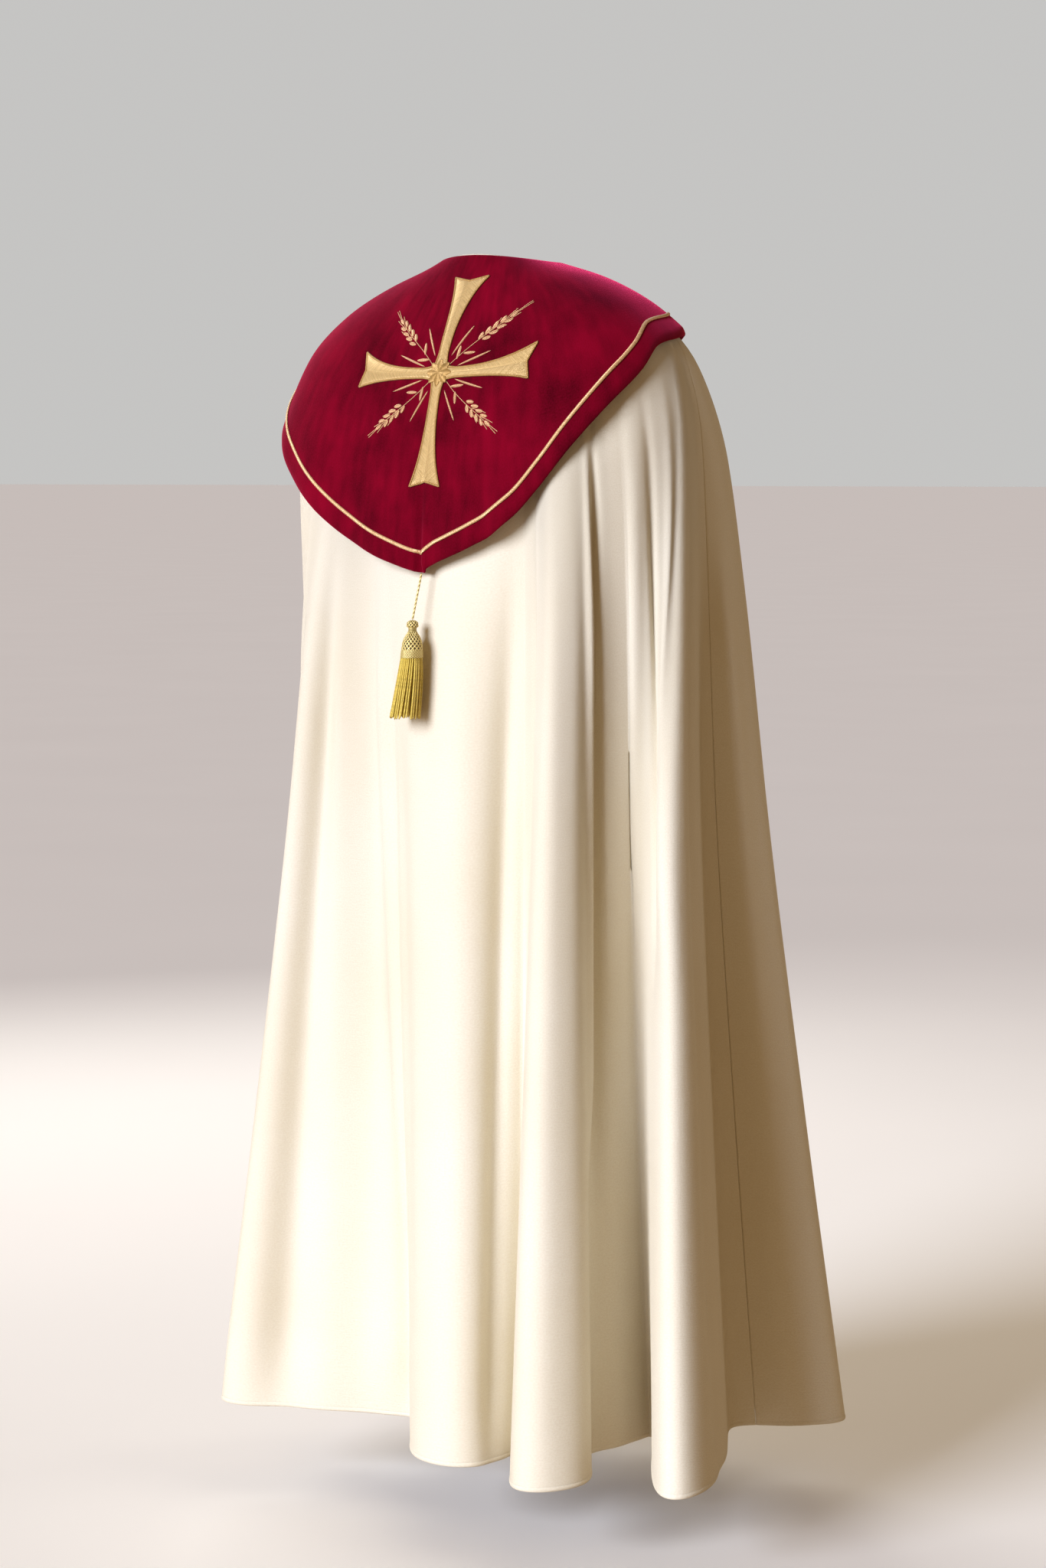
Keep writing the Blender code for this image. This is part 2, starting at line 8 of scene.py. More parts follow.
import bpy
import numpy as np
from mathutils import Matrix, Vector


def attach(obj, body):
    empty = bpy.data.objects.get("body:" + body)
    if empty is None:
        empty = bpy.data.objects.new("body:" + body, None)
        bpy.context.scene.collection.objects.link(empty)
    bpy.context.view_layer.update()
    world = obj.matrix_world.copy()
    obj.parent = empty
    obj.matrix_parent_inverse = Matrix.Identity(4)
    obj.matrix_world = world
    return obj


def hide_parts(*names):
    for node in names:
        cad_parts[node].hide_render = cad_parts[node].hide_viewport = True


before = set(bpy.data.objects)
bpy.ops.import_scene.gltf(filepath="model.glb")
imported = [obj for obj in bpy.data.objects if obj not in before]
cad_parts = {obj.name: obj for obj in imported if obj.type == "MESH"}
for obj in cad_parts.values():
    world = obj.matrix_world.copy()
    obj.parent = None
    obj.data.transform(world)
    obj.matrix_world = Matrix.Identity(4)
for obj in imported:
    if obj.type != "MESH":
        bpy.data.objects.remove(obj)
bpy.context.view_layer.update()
BODY = "root"

# Sizes shared with the solids
CLOTH, VELVET = 0.0020, 0.0025
SEAM_GAP, LAID_GAP = 0.0003, 0.0007
FOLD_START, FOLD_EASE = 0.10, 0.10
SEAM_TOP = 92.0

LEVEL_COLUMNS = ("share", "half_width", "back", "front", "z_back", "z_side", "z_front", "square")
LEVELS = np.array([
    (0.000, 0.074, 0.070, 0.085,  0.028,  0.016, -0.055, 2.00),
    (0.050, 0.142, 0.112, 0.128, -0.032, -0.008, -0.100, 2.20),
    (0.100, 0.208, 0.142, 0.155, -0.090, -0.046, -0.165, 2.40),
    (0.150, 0.250, 0.163, 0.172, -0.160, -0.092, -0.235, 2.60),
    (0.220, 0.276, 0.180, 0.186, -0.270, -0.190, -0.335, 2.85),
    (0.320, 0.286, 0.190, 0.215, -0.425, -0.345, -0.485, 2.85),
    (0.500, 0.300, 0.196, 0.260, -0.700, -0.630, -0.755, 2.70),
    (0.750, 0.332, 0.205, 0.290, -1.078, -1.034, -1.105, 2.55),
    (1.000, 0.368, 0.215, 0.310, -1.456, -1.438, -1.450, 2.50),
])
# Each row is a fold's crest and then its valley, with the same four columns: the angle that it hangs
# from on the shoulders, its angle at the hem, its reach from the middle there and its width.
FOLDS = np.array([
    (174.0,  173.0, 0.365, 0.050,  162.0,  160.0, 0.270, 0.050),
    (150.0,  147.0, 0.405, 0.090,  136.0,  138.0, 0.265, 0.060),
    (119.0,  126.0, 0.415, 0.100,  103.0,  113.0, 0.265, 0.060),
    (79.0,   99.0, 0.360, 0.090,   55.0,   86.0, 0.235, 0.050),
    (38.0,   67.5, 0.388, 0.080,   22.0,   57.0, 0.108, 0.040),
    (-7.0,  -13.5, 0.206, 0.124,  -41.0,  -47.0, 0.125, 0.030),
    (-50.5, -44.0, 0.318, 0.150,  -59.0,  -66.0, 0.200, 0.030),
    (-61.5, -80.0, 0.212, 0.030,  -66.0,  -93.0, 0.215, 0.040),
    (-87.0, -65.0, 0.428, 0.122,  -92.0, -111.0, 0.290, 0.050),
    (-109.0, -123.0, 0.440, 0.100, -130.0, -138.0, 0.270, 0.060),
    (-147.0, -148.0, 0.410, 0.090, -160.0, -160.0, 0.270, 0.050),
])
FRONT_EDGE = (-174.0, -173.0, 0.365, 0.050)

HOOD_TIP, HOOD_END, HOOD_NECK = -6.5, 172.0, 0.003
# The hood's length from the neck to its free edge by angle, down its right side and its left
HOOD_RIGHT = np.array([
    (-6.5, 0.422), (-10.5, 0.413), (-17.0, 0.406), (-25.5, 0.397), (-33.0, 0.386), (-38.5, 0.374),
    (-46.0, 0.345), (-53.5, 0.312), (-62.5, 0.279), (-73.5, 0.245), (-81.0, 0.218), (-92.5, 0.206),
    (-100.0, 0.192), (-115.0, 0.168), (-140.0, 0.142), (-172.0, 0.120),
])
HOOD_LEFT = np.array([
    (-6.5, 0.422), (-0.5, 0.418), (6.5, 0.412), (17.5, 0.402), (27.5, 0.390), (36.0, 0.378),
    (43.0, 0.367), (55.0, 0.346), (66.5, 0.322), (75.0, 0.297), (85.0, 0.262), (100.0, 0.220),
    (115.0, 0.182), (140.0, 0.148), (172.0, 0.120),
])
# How far the hood lies out from the form by share of the length
HOOD_LIFT = np.array([(0.0, 0.0045), (0.10, 0.0110), (0.20, 0.0180), (0.30, 0.0240)])
# Soft waves of the hood: the angle of the middle, the height, the width in degrees and the share of
# the length that it starts from.
HOOD_WAVES = ((-5.5, -0.0040, 5.5, 0.15), (-45.0, -0.0030, 7.0, 0.15), (-58.0, 0.0030, 8.0, 0.12),
              (68.0, 0.0045, 12.0, 0.14))
# Sharper creases of the velvet, which the solid leaves out, in the same columns
HOOD_CREASES = ((-4.6, -0.0052, 1.2, 0.180), (-7.6, 0.0026, 1.7, 0.18), (-30.0, -0.0034, 3.0, 0.16),
                (-36.0, 0.0026, 3.5, 0.14), (-70.0, -0.0032, 4.0, 0.06), (-79.0, 0.0028, 5.0, 0.06),
                (14.0, 0.0022, 6.0, 0.12), (27.0, -0.0026, 5.0, 0.14), (43.0, 0.0026, 6.0, 0.10),
                (55.0, -0.0028, 5.0, 0.12))
WAVE_FULL, WAVE_MOST = 0.26, 1.2         # the share where a wave has its height, and its most growth
HOOD_ROLL, HOOD_RIM = 0.0030, 0.0024     # the round of its free edge, and of its wall all round
HOOD_PLUMP, PLUMP_FROM = 0.0008, 0.006   # its edge's extra thickness, and where that is fullest
HOOD_CURL, CURL_FROM = 0.0030, 0.007     # how far its edge curls in, and from where
HOOD_SIDE, HOOD_GIRTH = 0.10, 0.22       # its radius at the front edges, and its pattern's radius
HOOD_RUN = 1.4                           # metres down its back in a share of one
HOOD_TURNS, HOOD_ROWS, HOOD_EVEN = 380, 68, 0.985   # its grid, and how near its edge even rows run

BRAID_WIDTH, BRAID_HIGH, BRAID_INSET, BRAID_MORE, BRAID_END = 0.0050, 0.0012, 0.024, 0.010, 170.5
BRAID_PLY, BRAID_SLANT, BRAID_SWELL = 0.0034, 0.32, 0.16   # its plies' pitch, slant and height
BRAID_STEP, BRAID_SEAT = 0.0011, 0.0009                    # steps along it, and its middle's height
# Its section's share of the width and its extra height, and where its inset is whole, in degrees
BRAID_FILL, BRAID_PROUD, BRAID_MORE_FROM = 0.92, 0.0003, 60
CROSS_SHIFT, CROSS_DOWN = -0.020, 0.178
CROSS_UP, CROSS_WIDE, CROSS_FOOT = 0.135, 0.120, 0.140
CROSS_HIGH, CROSS_CLEFT = 0.0012, -0.006
# Half the width of an arm by share of its length
CROSS_ARM = np.array([(0.0, 0.0085), (0.15, 0.0060), (0.35, 0.0065), (0.55, 0.0085), (0.75, 0.0125),
                      (0.90, 0.0175), (1.0, 0.0220)])
# Which way each arm points, sideways and down, and how far it reaches
CROSS_ARMS = ((0, -1, CROSS_UP), (1, 0, CROSS_WIDE), (0, 1, CROSS_FOOT), (-1, 0, CROSS_WIDE))
CROSS_PLY, CROSS_SEAT, CROSS_MORE = 0.0048, 0.0003, 0.0004   # its ridges' pitch, underside, extra height
OUTLINE_LIFT, OUTLINE_RADIUS, OUTLINE_PITCH = 0.0011, 0.0014, 0.0044
BOSS_REACH, BOSS_POINTS = 0.0150, 8
BOSS_SEAT, BOSS_LIFT, BOSS_HIGH = 0.0012, 0.0002, 0.0019     # its underside, its rim's and dome's height

CORD_WIDE, CORD_SEAT, CORD_PITCH, CORD_AROUND = 0.0026, 0.0005, 0.011, 12
TASSEL_HANG = (0.009, 0.0062, -0.0562)
# The head's radius by distance down from its top
TASSEL_HEAD = np.array([(0.0012, 0.0040), (0.0040, 0.0065), (0.0075, 0.0070), (0.0105, 0.0050),
                        (0.0150, 0.0055), (0.0200, 0.0085), (0.0280, 0.0115), (0.0360, 0.0125),
                        (0.0380, 0.0132), (0.0450, 0.0136)])
KNOB_FOOT, NECK_FOOT, DOME_FOOT = 0.0095, 0.0145, 0.0362  # how far down each stretch of the head ends
# A net's meshes round, their pitch down and their cords' height, on the knob and on the dome
KNOB_NET, DOME_NET, NET_LEVEL = (10, 0.0048, 0.0008), (15, 0.0058, 0.0012), 0.45
WRAP_HIGH, WRAP_PITCH = 0.00030, 0.0011
BAND_HIGH, BAND_PITCH, BAND_CORDS, BAND_DEPTH = 0.00035, 0.0019, 24, 0.0008
TASSEL_SKIRT = 0.074
HEAD_LEAN, SKIRT_SWING = 0.0016, 0.0105   # how far each one's foot swings to the wearer's left
# The radius of a cord of the skirt, how much less it is in each ring further in, and its twist
SKIRT_CORD, SKIRT_THINNER, SKIRT_PITCH = 0.00122, 0.00012, 0.0052
# The skirt's rings: how many cords, the radius of their roots and how many times wider they end
SKIRT_RINGS = ((32, 0.0119, 1.48), (26, 0.0090, 1.42), (18, 0.0058, 1.36), (8, 0.0026, 1.3))
TAB_TOP, TAB_FOOT, TAB_WALL, TAB_REACH, TAB_LIFT = 0.115, 0.150, 0.0025, 0.165, 0.0009

# Sizes of the finer cloth: soft ridges (+) and troughs (-) laid on it. The columns are where
# each ends in metres along the hem, how far it drifts towards its top, the shares of the length that
# it starts and stops at, its height and its width.
CREASES = np.array([
    (0.055,  0.000, 0.16, 0.90, -0.009, 0.030),
    (0.215,  0.020, 0.20, 1.05,  0.011, 0.032),
    (0.372, -0.015, 0.14, 0.86, -0.011, 0.034),
    (0.530,  0.010, 0.22, 1.05,  0.012, 0.036),
    (0.700, -0.020, 0.18, 0.95, -0.011, 0.030),
    (0.870,  0.010, 0.14, 1.05,  0.009, 0.028),
    (0.990,  0.015, 0.20, 0.88, -0.009, 0.030),
    (1.130, -0.010, 0.18, 1.05,  0.010, 0.034),
    (1.215, -0.040, 0.22, 1.05,  0.006, 0.040),
    (1.340, -0.035, 0.22, 1.05, -0.022, 0.040),
    (1.485,  0.100, 0.20, 1.05,  0.012, 0.032),
    (1.522,  0.105, 0.24, 1.05, -0.006, 0.014),
    (1.640, -0.030, 0.30, 0.94, -0.006, 0.030),
    (1.735,  0.050, 0.20, 1.05,  0.006, 0.030),
    (1.792,  0.060, 0.20, 1.05, -0.012, 0.020),
    (1.960, -0.060, 0.16, 0.90, -0.005, 0.022),
    (2.050,  0.010, 0.22, 1.05,  0.004, 0.030),
    (2.190,  0.010, 0.14, 0.80,  0.008, 0.018),
    (2.236,  0.000, 0.14, 0.82, -0.010, 0.016),
    (2.352,  0.000, 0.12, 0.62,  0.006, 0.030),
    (2.560, -0.190, 0.14, 0.66, -0.008, 0.018),
    (2.630, -0.170, 0.14, 0.66,  0.007, 0.030),
    (2.700, -0.020, 0.24, 1.05, -0.010, 0.034),
    (2.975,  0.010, 0.26, 1.05,  0.010, 0.030),
    (3.140, -0.015, 0.18, 0.92, -0.011, 0.034),
    (3.340,  0.015, 0.20, 1.05,  0.011, 0.030),
    (3.500, -0.010, 0.16, 0.88, -0.010, 0.032),
    (3.660,  0.000, 0.22, 0.95,  0.008, 0.026),
])
CREASE_RISE, CREASE_FADE = 0.22, 0.12  # the shares that a crease takes to come and to go
CLOTH_LONG = 1.49                      # the cloth from neck to hem, to make a distance a share
ROLL = 0.0020                          # an edge is rounded over this distance
HEM_STITCH = 0.0058                    # the stitching above the hem's edge
HEM_SWELL, HEM_FULL = 0.0006, 0.0030   # the turned hem's extra thickness, and where it is fullest
HEM_ROWS = (0.0030, 0.0042, 0.0050, HEM_STITCH, 0.0066, 0.0076, 0.0095)  # the grid's rows above it
PRESS, PRESS_WIDE = 0.00045, 0.0007    # how deep the hem's stitches press in, and how wide
TAB_PRESS, TAB_PRESS_WIDE = 0.0005, 0.0009
INNER_ASIDE, INNER_BELOW = 0.37, 0.21  # where a panel's inner face lies on the pattern from its outer
SIDE_SINK, SIDE_WIDE = 0.0009, 0.004   # how deep a panel's sides sink, and from where
PANEL_ROWS, TOP_ROW, HEM_ROW = 128, 0.004, 0.012   # its even rows, and their shares from its two ends
HEM_INSIDE = 0.4                       # the share of the hem's extra thickness on its inner face
STITCH_LONG, STITCH_WIDE, STITCH_STEP, STITCH_HIGH = 0.0024, 0.0006, 0.0033, 0.00030
STITCH_REACH = 0.0008                  # how far to each side a stitch looks for its direction
# How deep a stitch sits in the cape and in the tab, and the hem's ends that have no stitches
STITCH_SUNK, TAB_STITCH_SUNK, STITCH_CLEAR = 0.0001, 0.0003, 0.004

# The view of the photograph
FLOOR, FLOOR_REACH = -1.56, 300.0
LENS, LONG_SIDE = 80.0, 36.0
TURN, PITCH = math.radians(35.0), math.radians(5.1)
CAMERA_AWAY, CAMERA_UP, CAMERA_SIDE = 4.38, 1.32, 0.022
TO_CAMERA = np.array([-math.sin(TURN), math.cos(TURN), 0.0])
IMAGE_RIGHT = np.array([-math.cos(TURN), -math.sin(TURN), 0.0])
UP, AIM = np.array([0, 0, 1.0]), np.array([0, 0, -0.65])
KEY_POWER, KEY_ANGLE, KEY_COLOUR = 4.35, math.radians(30), (0.945, 1.005, 1.20)
KEY_FROM = TO_CAMERA * 0.88 - IMAGE_RIGHT * 0.84 + UP * 0.40
# Each lamp's name, its metres to the image's right, towards the camera and up, width, height, power
# and colour
LAMPS = (("rim", 2.6, -1.2, 0.9, 0.7, 2.0, 9, (1.0, 0.95, 0.88)),
         ("fill", -1.2, -3.2, 1.8, 2.5, 2.5, 60, (1.0, 0.98, 0.95)))
SKY_THROWN, SKY_STRENGTH, SKY_SEEN = (1.0, 0.62, 0.26, 1.0), 0.20, (0.56, 0.555, 0.545, 1.0)
FLOOR_SEEN, FLOOR_THROWN = (1.0, 0.98, 0.92), (0.56, 0.42, 0.25)


def unit(vectors):
    """The same directions at length one."""
    return vectors / np.linalg.norm(vectors, axis=-1, keepdims=True)


def run_along(line):
    """Distance along a line from its first point to each of its points."""
    return np.concatenate([[0], np.cumsum(np.linalg.norm(np.diff(line, axis=0), axis=-1))])


def ease(knots, values, at):
    """Smooth line through a table's rows that never overshoots them: cubic pieces whose slopes are
    the harmonic means of the slopes on both sides."""
    k, y = np.asarray(knots, float), np.asarray(values, float)
    x = np.clip(np.asarray(at, float), k[0], k[-1])
    step = np.diff(k)
    slope = np.diff(y) / step
    tangent = np.zeros_like(y)
    rising = slope[:-1] * slope[1:] > 0
    before, after = 2 * step[1:] + step[:-1], step[1:] + 2 * step[:-1]
    safe_before = np.where(rising, slope[:-1], 1.0)
    safe_after = np.where(rising, slope[1:], 1.0)
    mean = (before + after) / (before / safe_before + after / safe_after)
    tangent[1:-1] = np.where(rising, mean, 0.0)
    tangent[0], tangent[-1] = slope[0], slope[-1]
    i = np.clip(np.searchsorted(k, x, side="right") - 1, 0, len(k) - 2)
    t = (x - k[i]) / step[i]
    return ((1 + 2 * t) * (1 - t) ** 2 * y[i] + t * (1 - t) ** 2 * step[i] * tangent[i]
            + t * t * (3 - 2 * t) * y[i + 1] + t * t * (t - 1) * step[i] * tangent[i + 1])


def level(share, name):
    """One column of the form's sizes at a share of the length."""
    return ease(LEVELS[:, 0], LEVELS[:, LEVEL_COLUMNS.index(name)], share)


def form(angle, share):
    """The smooth form under the cloth: at each share of the length a superellipse, whose height
    goes from the side's to the back's or front's with the square of the distance to them."""
    angle, share = np.broadcast_arrays(np.asarray(angle, float), np.asarray(share, float))
    s, c = np.sin(np.radians(angle)), np.cos(np.radians(angle))
    half, power = level(share, "half_width"), level(share, "square")
    deep = np.where(c > 0, level(share, "back"), level(share, "front"))
    radius = (np.abs(s / half) ** power + np.abs(c / deep) ** power) ** (-1 / power)
    z_side = level(share, "z_side")
    z_end = np.where(c > 0, level(share, "z_back"), level(share, "z_front"))
    z = z_side + (z_end - z_side) * (radius * c / deep) ** 2
    return np.stack([radius * s, radius * c, z], -1)


def spline(points, count):
    """Clamped cubic B-spline over a row of control points."""
    p = np.asarray(points, float)
    last = len(p) - 3
    knots = np.concatenate([[0.0] * 3, np.arange(last + 1), [float(last)] * 3])
    t = np.linspace(0, last, count)
    t[-1] -= 1e-9
    weight = [((knots[i] <= t) & (t < knots[i + 1])).astype(float) for i in range(len(knots) - 1)]
    for degree in range(1, 4):
        raised = []
        for i in range(len(weight) - 1):
            a, b = knots[i + degree] - knots[i], knots[i + degree + 1] - knots[i + 1]
            rise = (t - knots[i]) / a * weight[i] if a > 0 else 0 * t
            fall = (knots[i + degree + 1] - t) / b * weight[i + 1] if b > 0 else 0 * t
            raised.append(rise + fall)
        weight = raised
    return sum(weight[i][:, None] * p[i] for i in range(len(p)))


def hem_line(samples=6000):
    """The hem in plan by length along it, with the angle each point hangs from on the shoulders."""
    rows = [r[k:k + 4] for r in FOLDS for k in (0, 4)] + [np.array(FRONT_EDGE)]
    points = []
    for _, angle, reach, width in rows:
        a = math.radians(angle)
        middle = np.array([math.sin(a), math.cos(a)]) * reach
        along = np.array([-math.cos(a), math.sin(a)]) * width / 2
        points += [middle - along, middle + along]
    xy = spline(points, samples)
    length = run_along(xy)
    last = len(points) - 3
    mark = np.clip((2 * np.arange(len(rows)) + 0.5 - 1) / last, 0, 1)
    marks = np.interp(mark, np.linspace(0, 1, samples), length)
    marks[0], marks[-1] = 0.0, length[-1]
    tops = -ease(marks, [-r[0] for r in rows], length)
    return length, xy, tops, marks


LENGTH, HEM_XY, HEM_TOP, MARKS = hem_line()
SEAM_RIGHT = MARKS[17] + 0.040
SEAM_LEFT = float(np.interp(-SEAM_TOP, -HEM_TOP, LENGTH))


def cope(place, share):
    """The cope's cloth: from a point of the shoulders each thread hangs towards its point of the
    hem, leaving the form slowly below the shoulders."""
    place, share = np.broadcast_arrays(np.asarray(place, float), np.asarray(share, float))
    foot = np.stack([np.interp(place, LENGTH, HEM_XY[:, k]) for k in (0, 1)], -1)
    top = np.interp(place, LENGTH, HEM_TOP)
    base, base_hem = form(top, share), form(top, np.ones_like(share))
    t = np.clip((share - FOLD_START) / (1 - FOLD_START), 0, 1)
    grow = t * t / (t + FOLD_EASE) * (1 + FOLD_EASE)
    hang = np.degrees(np.arctan2(foot[..., 0], foot[..., 1]))
    z_hem = form(hang, np.ones_like(share))[..., 2]
    point = base.copy()
    point[..., :2] += grow[..., None] * (foot - base_hem[..., :2])
    point[..., 2] += grow ** 2 * (z_hem - base_hem[..., 2])
    return point


def outward(surface, a, b, step_a, step_b):
    """Unit normals facing away from the body; a step towards the left is positive for an angle and
    negative for a place along the hem."""
    across = surface(a + step_a, b) - surface(a - step_a, b)
    down = surface(a, np.minimum(b + step_b, 1.0)) - surface(a, np.maximum(b - step_b, 0.0))
    return unit(np.cross(across, down))


def creased(place, share):
    """The cope's cloth with its soft ridges and troughs, each a bell across and eased at its ends."""
    place, share = np.broadcast_arrays(np.asarray(place, float), np.asarray(share, float))
    rise = np.zeros_like(place)
    for foot, drift, start, stop, height, width in CREASES:
        middle = foot + drift * (1 - share)
        ends = np.clip((share - start) / CREASE_RISE, 0, 1) * np.clip((stop - share) / CREASE_FADE, 0, 1)
        rise += height * (ends * ends * (3 - 2 * ends)) * np.exp(-((place - middle) / width) ** 2)
    return cope(place, share) + outward(cope, place, share, -0.0012, 0.003) * rise[..., None]


def hood_length(angle):
    """Length of the hood from the neck to its free edge; the two sides meet in a point."""
    right = ease(-HOOD_RIGHT[:, 0], HOOD_RIGHT[:, 1], -np.asarray(angle, float))
    left = ease(HOOD_LEFT[:, 0], HOOD_LEFT[:, 1], angle)
    return np.where(np.asarray(angle) < HOOD_TIP, right, left)


def hood(angle, share):
    """The hood's outer face: the form moved out more and more towards its edge, with soft waves."""
    angle, share = np.broadcast_arrays(np.asarray(angle, float), np.asarray(share, float))
    n = outward(form, angle, share, 0.5, 0.002)
    lift = ease(HOOD_LIFT[:, 0], HOOD_LIFT[:, 1], share)
    for middle, amount, width, start in HOOD_WAVES + HOOD_CREASES:
        grow = np.clip((share - start) / (WAVE_FULL - start), 0, WAVE_MOST)
        lift = lift + amount * grow ** 1.5 * np.exp(-((angle - middle) / width) ** 2)
    return form(angle, share) + n * lift[..., None]


def share_down(angle, wanted):
    """Share of the length at which the hood has run the wanted length from the neck."""
    steps = np.linspace(0, 0.36, 181)
    line = hood(np.asarray(angle)[:, None], steps[None, :])
    run = np.linalg.norm(np.diff(line, axis=1), axis=2)
    run = np.concatenate([np.zeros((len(angle), 1)), np.cumsum(run, axis=1)], axis=1)
    return np.array([np.interp(want, r, steps) for want, r in zip(wanted, run)])


def on_hood(angle, share, lift):
    """A point on the hood's outer face, moved out by lift."""
    angle, share = np.broadcast_arrays(np.asarray(angle, float), np.asarray(share, float))
    n = outward(hood, angle, share, 0.8, 0.002)
    return hood(angle, share) + n * np.asarray(lift)[..., None]


def on_back(sideways, down, lift):
    """A point on the hood's back: metres to the wearer's left of its middle, metres down from the neck."""
    sideways, down = np.broadcast_arrays(np.asarray(sideways, float), np.asarray(down, float))
    steps = np.linspace(0, 0.34, 171)
    spine = hood(HOOD_TIP + 0 * steps, steps)
    share = np.interp(down, run_along(spine), steps)
    x = sideways + CROSS_SHIFT
    half, deep, power = level(share, "half_width"), level(share, "back"), level(share, "square")
    y = deep * (1 - np.abs(x / half) ** power) ** (1 / power)
    return on_hood(np.degrees(np.arctan2(x, y)), share, lift + 0 * share)


# Mesh makers
def piece(name, points, faces, uv, material, replaced=(), relief=None):
    """A shaded mesh piece on the body, from arrays of points, faces and one uv pair a point. Relief,
    where it is given, is each point's height in its pattern, from 0 to 1, which the material paints as
    shade where low."""
    points = points.reshape(-1, 3)
    mesh = bpy.data.meshes.new(name)
    mesh.from_pydata(points.tolist(), [], facing_out(points, faces))
    loops = np.empty(len(mesh.loops), np.int32)
    mesh.loops.foreach_get("vertex_index", loops)
    layer = mesh.uv_layers.new(name="UVMap")
    layer.data.foreach_set("uv", uv.reshape(-1, 2)[loops].astype(np.float32).ravel())
    if relief is not None:
        heights = mesh.attributes.new("relief", "FLOAT", "POINT")
        heights.data.foreach_set("value", np.asarray(relief, np.float32).ravel())
    mesh.shade_smooth()
    mesh.materials.append(material)
    item = bpy.data.objects.new(name, mesh)
    bpy.context.collection.objects.link(item)
    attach(item, BODY)
    if replaced:
        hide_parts(*replaced)
    return item


def facing_out(points, faces):
    """The faces of a closed mesh in the order that faces them outwards: their signed volume, summed
    over a fan of triangles for each face, comes out positive."""
    total = 0.0
    for size in {len(face) for face in faces}:
        corners = points[np.array([face for face in faces if len(face) == size])]
        for k in range(1, size - 1):
            total += (np.cross(corners[:, k], corners[:, k + 1]) * corners[:, 0]).sum()
    return [list(map(int, face))[:: 1 if total > 0 else -1] for face in faces]


def grid_faces(n, m, flip=False, wrap=False):
    """Quads over n columns by m rows; wrap closes the rows into rings."""
    i, j = np.meshgrid(np.arange(n - 1), np.arange(m if wrap else m - 1), indexing="ij")
    k = (j + 1) % m
    quads = np.stack([i * m + j, i * m + k, (i + 1) * m + k, (i + 1) * m + j], -1).reshape(-1, 4)
    return quads[:, ::-1] if flip else quads


def shell_faces(n, m):
    """Faces of a closed wall whose outer grid of n columns by m rows comes first, then the inner one."""
    rim = np.concatenate([np.arange(n) * m, (n - 1) * m + np.arange(1, m),
                          np.arange(n - 2, -1, -1) * m + m - 1, np.arange(m - 2, 0, -1)])
    after = np.roll(rim, -1)
    side = np.stack([rim, after, after + n * m, rim + n * m], -1)
    return np.concatenate([grid_faces(n, m), grid_faces(n, m, flip=True) + n * m, side])


def normals(points):
    """Unit normals of a grid of points, columns by rows."""
    n = np.cross(np.gradient(points, axis=1), np.gradient(points, axis=0))
    return n / (np.linalg.norm(n, axis=-1, keepdims=True) + 1e-12)


def run_down(points):
    """Distance from the first row down each column of a grid."""
    step = np.linalg.norm(np.diff(points, axis=1), axis=-1)
    return np.concatenate([np.zeros((len(points), 1)), np.cumsum(step, axis=1)], axis=1)


def rounded(distance, radius):
    """From 0 at an edge to 1 a radius in from it, along a quarter circle."""
    t = np.clip(distance / radius, 0, 1)
    return np.sqrt(np.clip(1 - (1 - t) ** 2, 0, 1))


def edge_steps(radius, count=5):
    """Distances from an edge that a rounded rim needs, closest at the edge."""
    return radius * (1 - np.cos(np.linspace(0, math.pi / 2, count)))


def tube(path, up, radius, lobes, pitch, around, deep=0.30, close=0.85):
    """A twisted cord along a path: a ring whose radius swells into lobes, turned once a pitch; its
    ends are drawn in. Returns rings of points and their uv, in metres along and round."""
    along = unit(np.gradient(path, axis=0))
    side = unit(np.cross(up, along))
    top = np.cross(along, side)
    run = run_along(path)
    turn = np.linspace(0, 2 * math.pi, around, endpoint=False)
    phase = turn[None, :] - 2 * math.pi * run[:, None] / pitch
    swell = (1 - deep) + deep * np.abs(np.cos(phase * lobes / 2))
    ends = 1 - close * (1 - rounded(np.minimum(run, run[-1] - run), radius))
    r = (radius * swell * ends[:, None])[..., None]
    points = path[:, None] + r * (side[:, None] * np.cos(turn)[None, :, None]
                                  + top[:, None] * np.sin(turn)[None, :, None])
    uv = np.stack(np.broadcast_arrays(run[:, None], turn[None, :] * radius), -1)
    return points, uv


def tube_faces(n, around):
    """Faces of a tube of n rings, each of its two ends closed by a fan from its ring's first point."""
    quads = grid_faces(n, around, wrap=True)
    k = np.arange(1, around - 1)
    first = np.stack([0 * k, k, k + 1, 0 * k], -1)[:, ::-1]
    last = first[:, ::-1] + (n - 1) * around
    return np.concatenate([quads, first, last])


def joined(parts):
    """Several closed (points, faces, uv), each faced outwards, put together in one set of arrays."""
    points, faces, uvs, count = [], [], [], 0
    for p, f, uv in parts:
        points.append(p.reshape(-1, 3))
        faces += [[v + count for v in face] for face in facing_out(points[-1], f)]
        uvs.append(uv.reshape(-1, 2))
        count += len(points[-1])
    return np.concatenate(points), faces, np.concatenate(uvs)


def both_faces(u, v, aside=0.0, below=0.0):
    """The uv of a wall's outer grid and then of its inner one, which lies elsewhere on the pattern."""
    return np.stack([np.stack([u, v], -1), np.stack([u + aside, v + below], -1)])


def grid_area(points, down):
    """Area of a grid of cloth, summed over its cells' widths times their falls."""
    across = np.linalg.norm(np.diff((points[:, 1:] + points[:, :-1]) / 2, axis=0), axis=-1)
    fall = np.diff((down[1:] + down[:-1]) / 2, axis=1)
    return round(float((across * fall).sum()), 3)


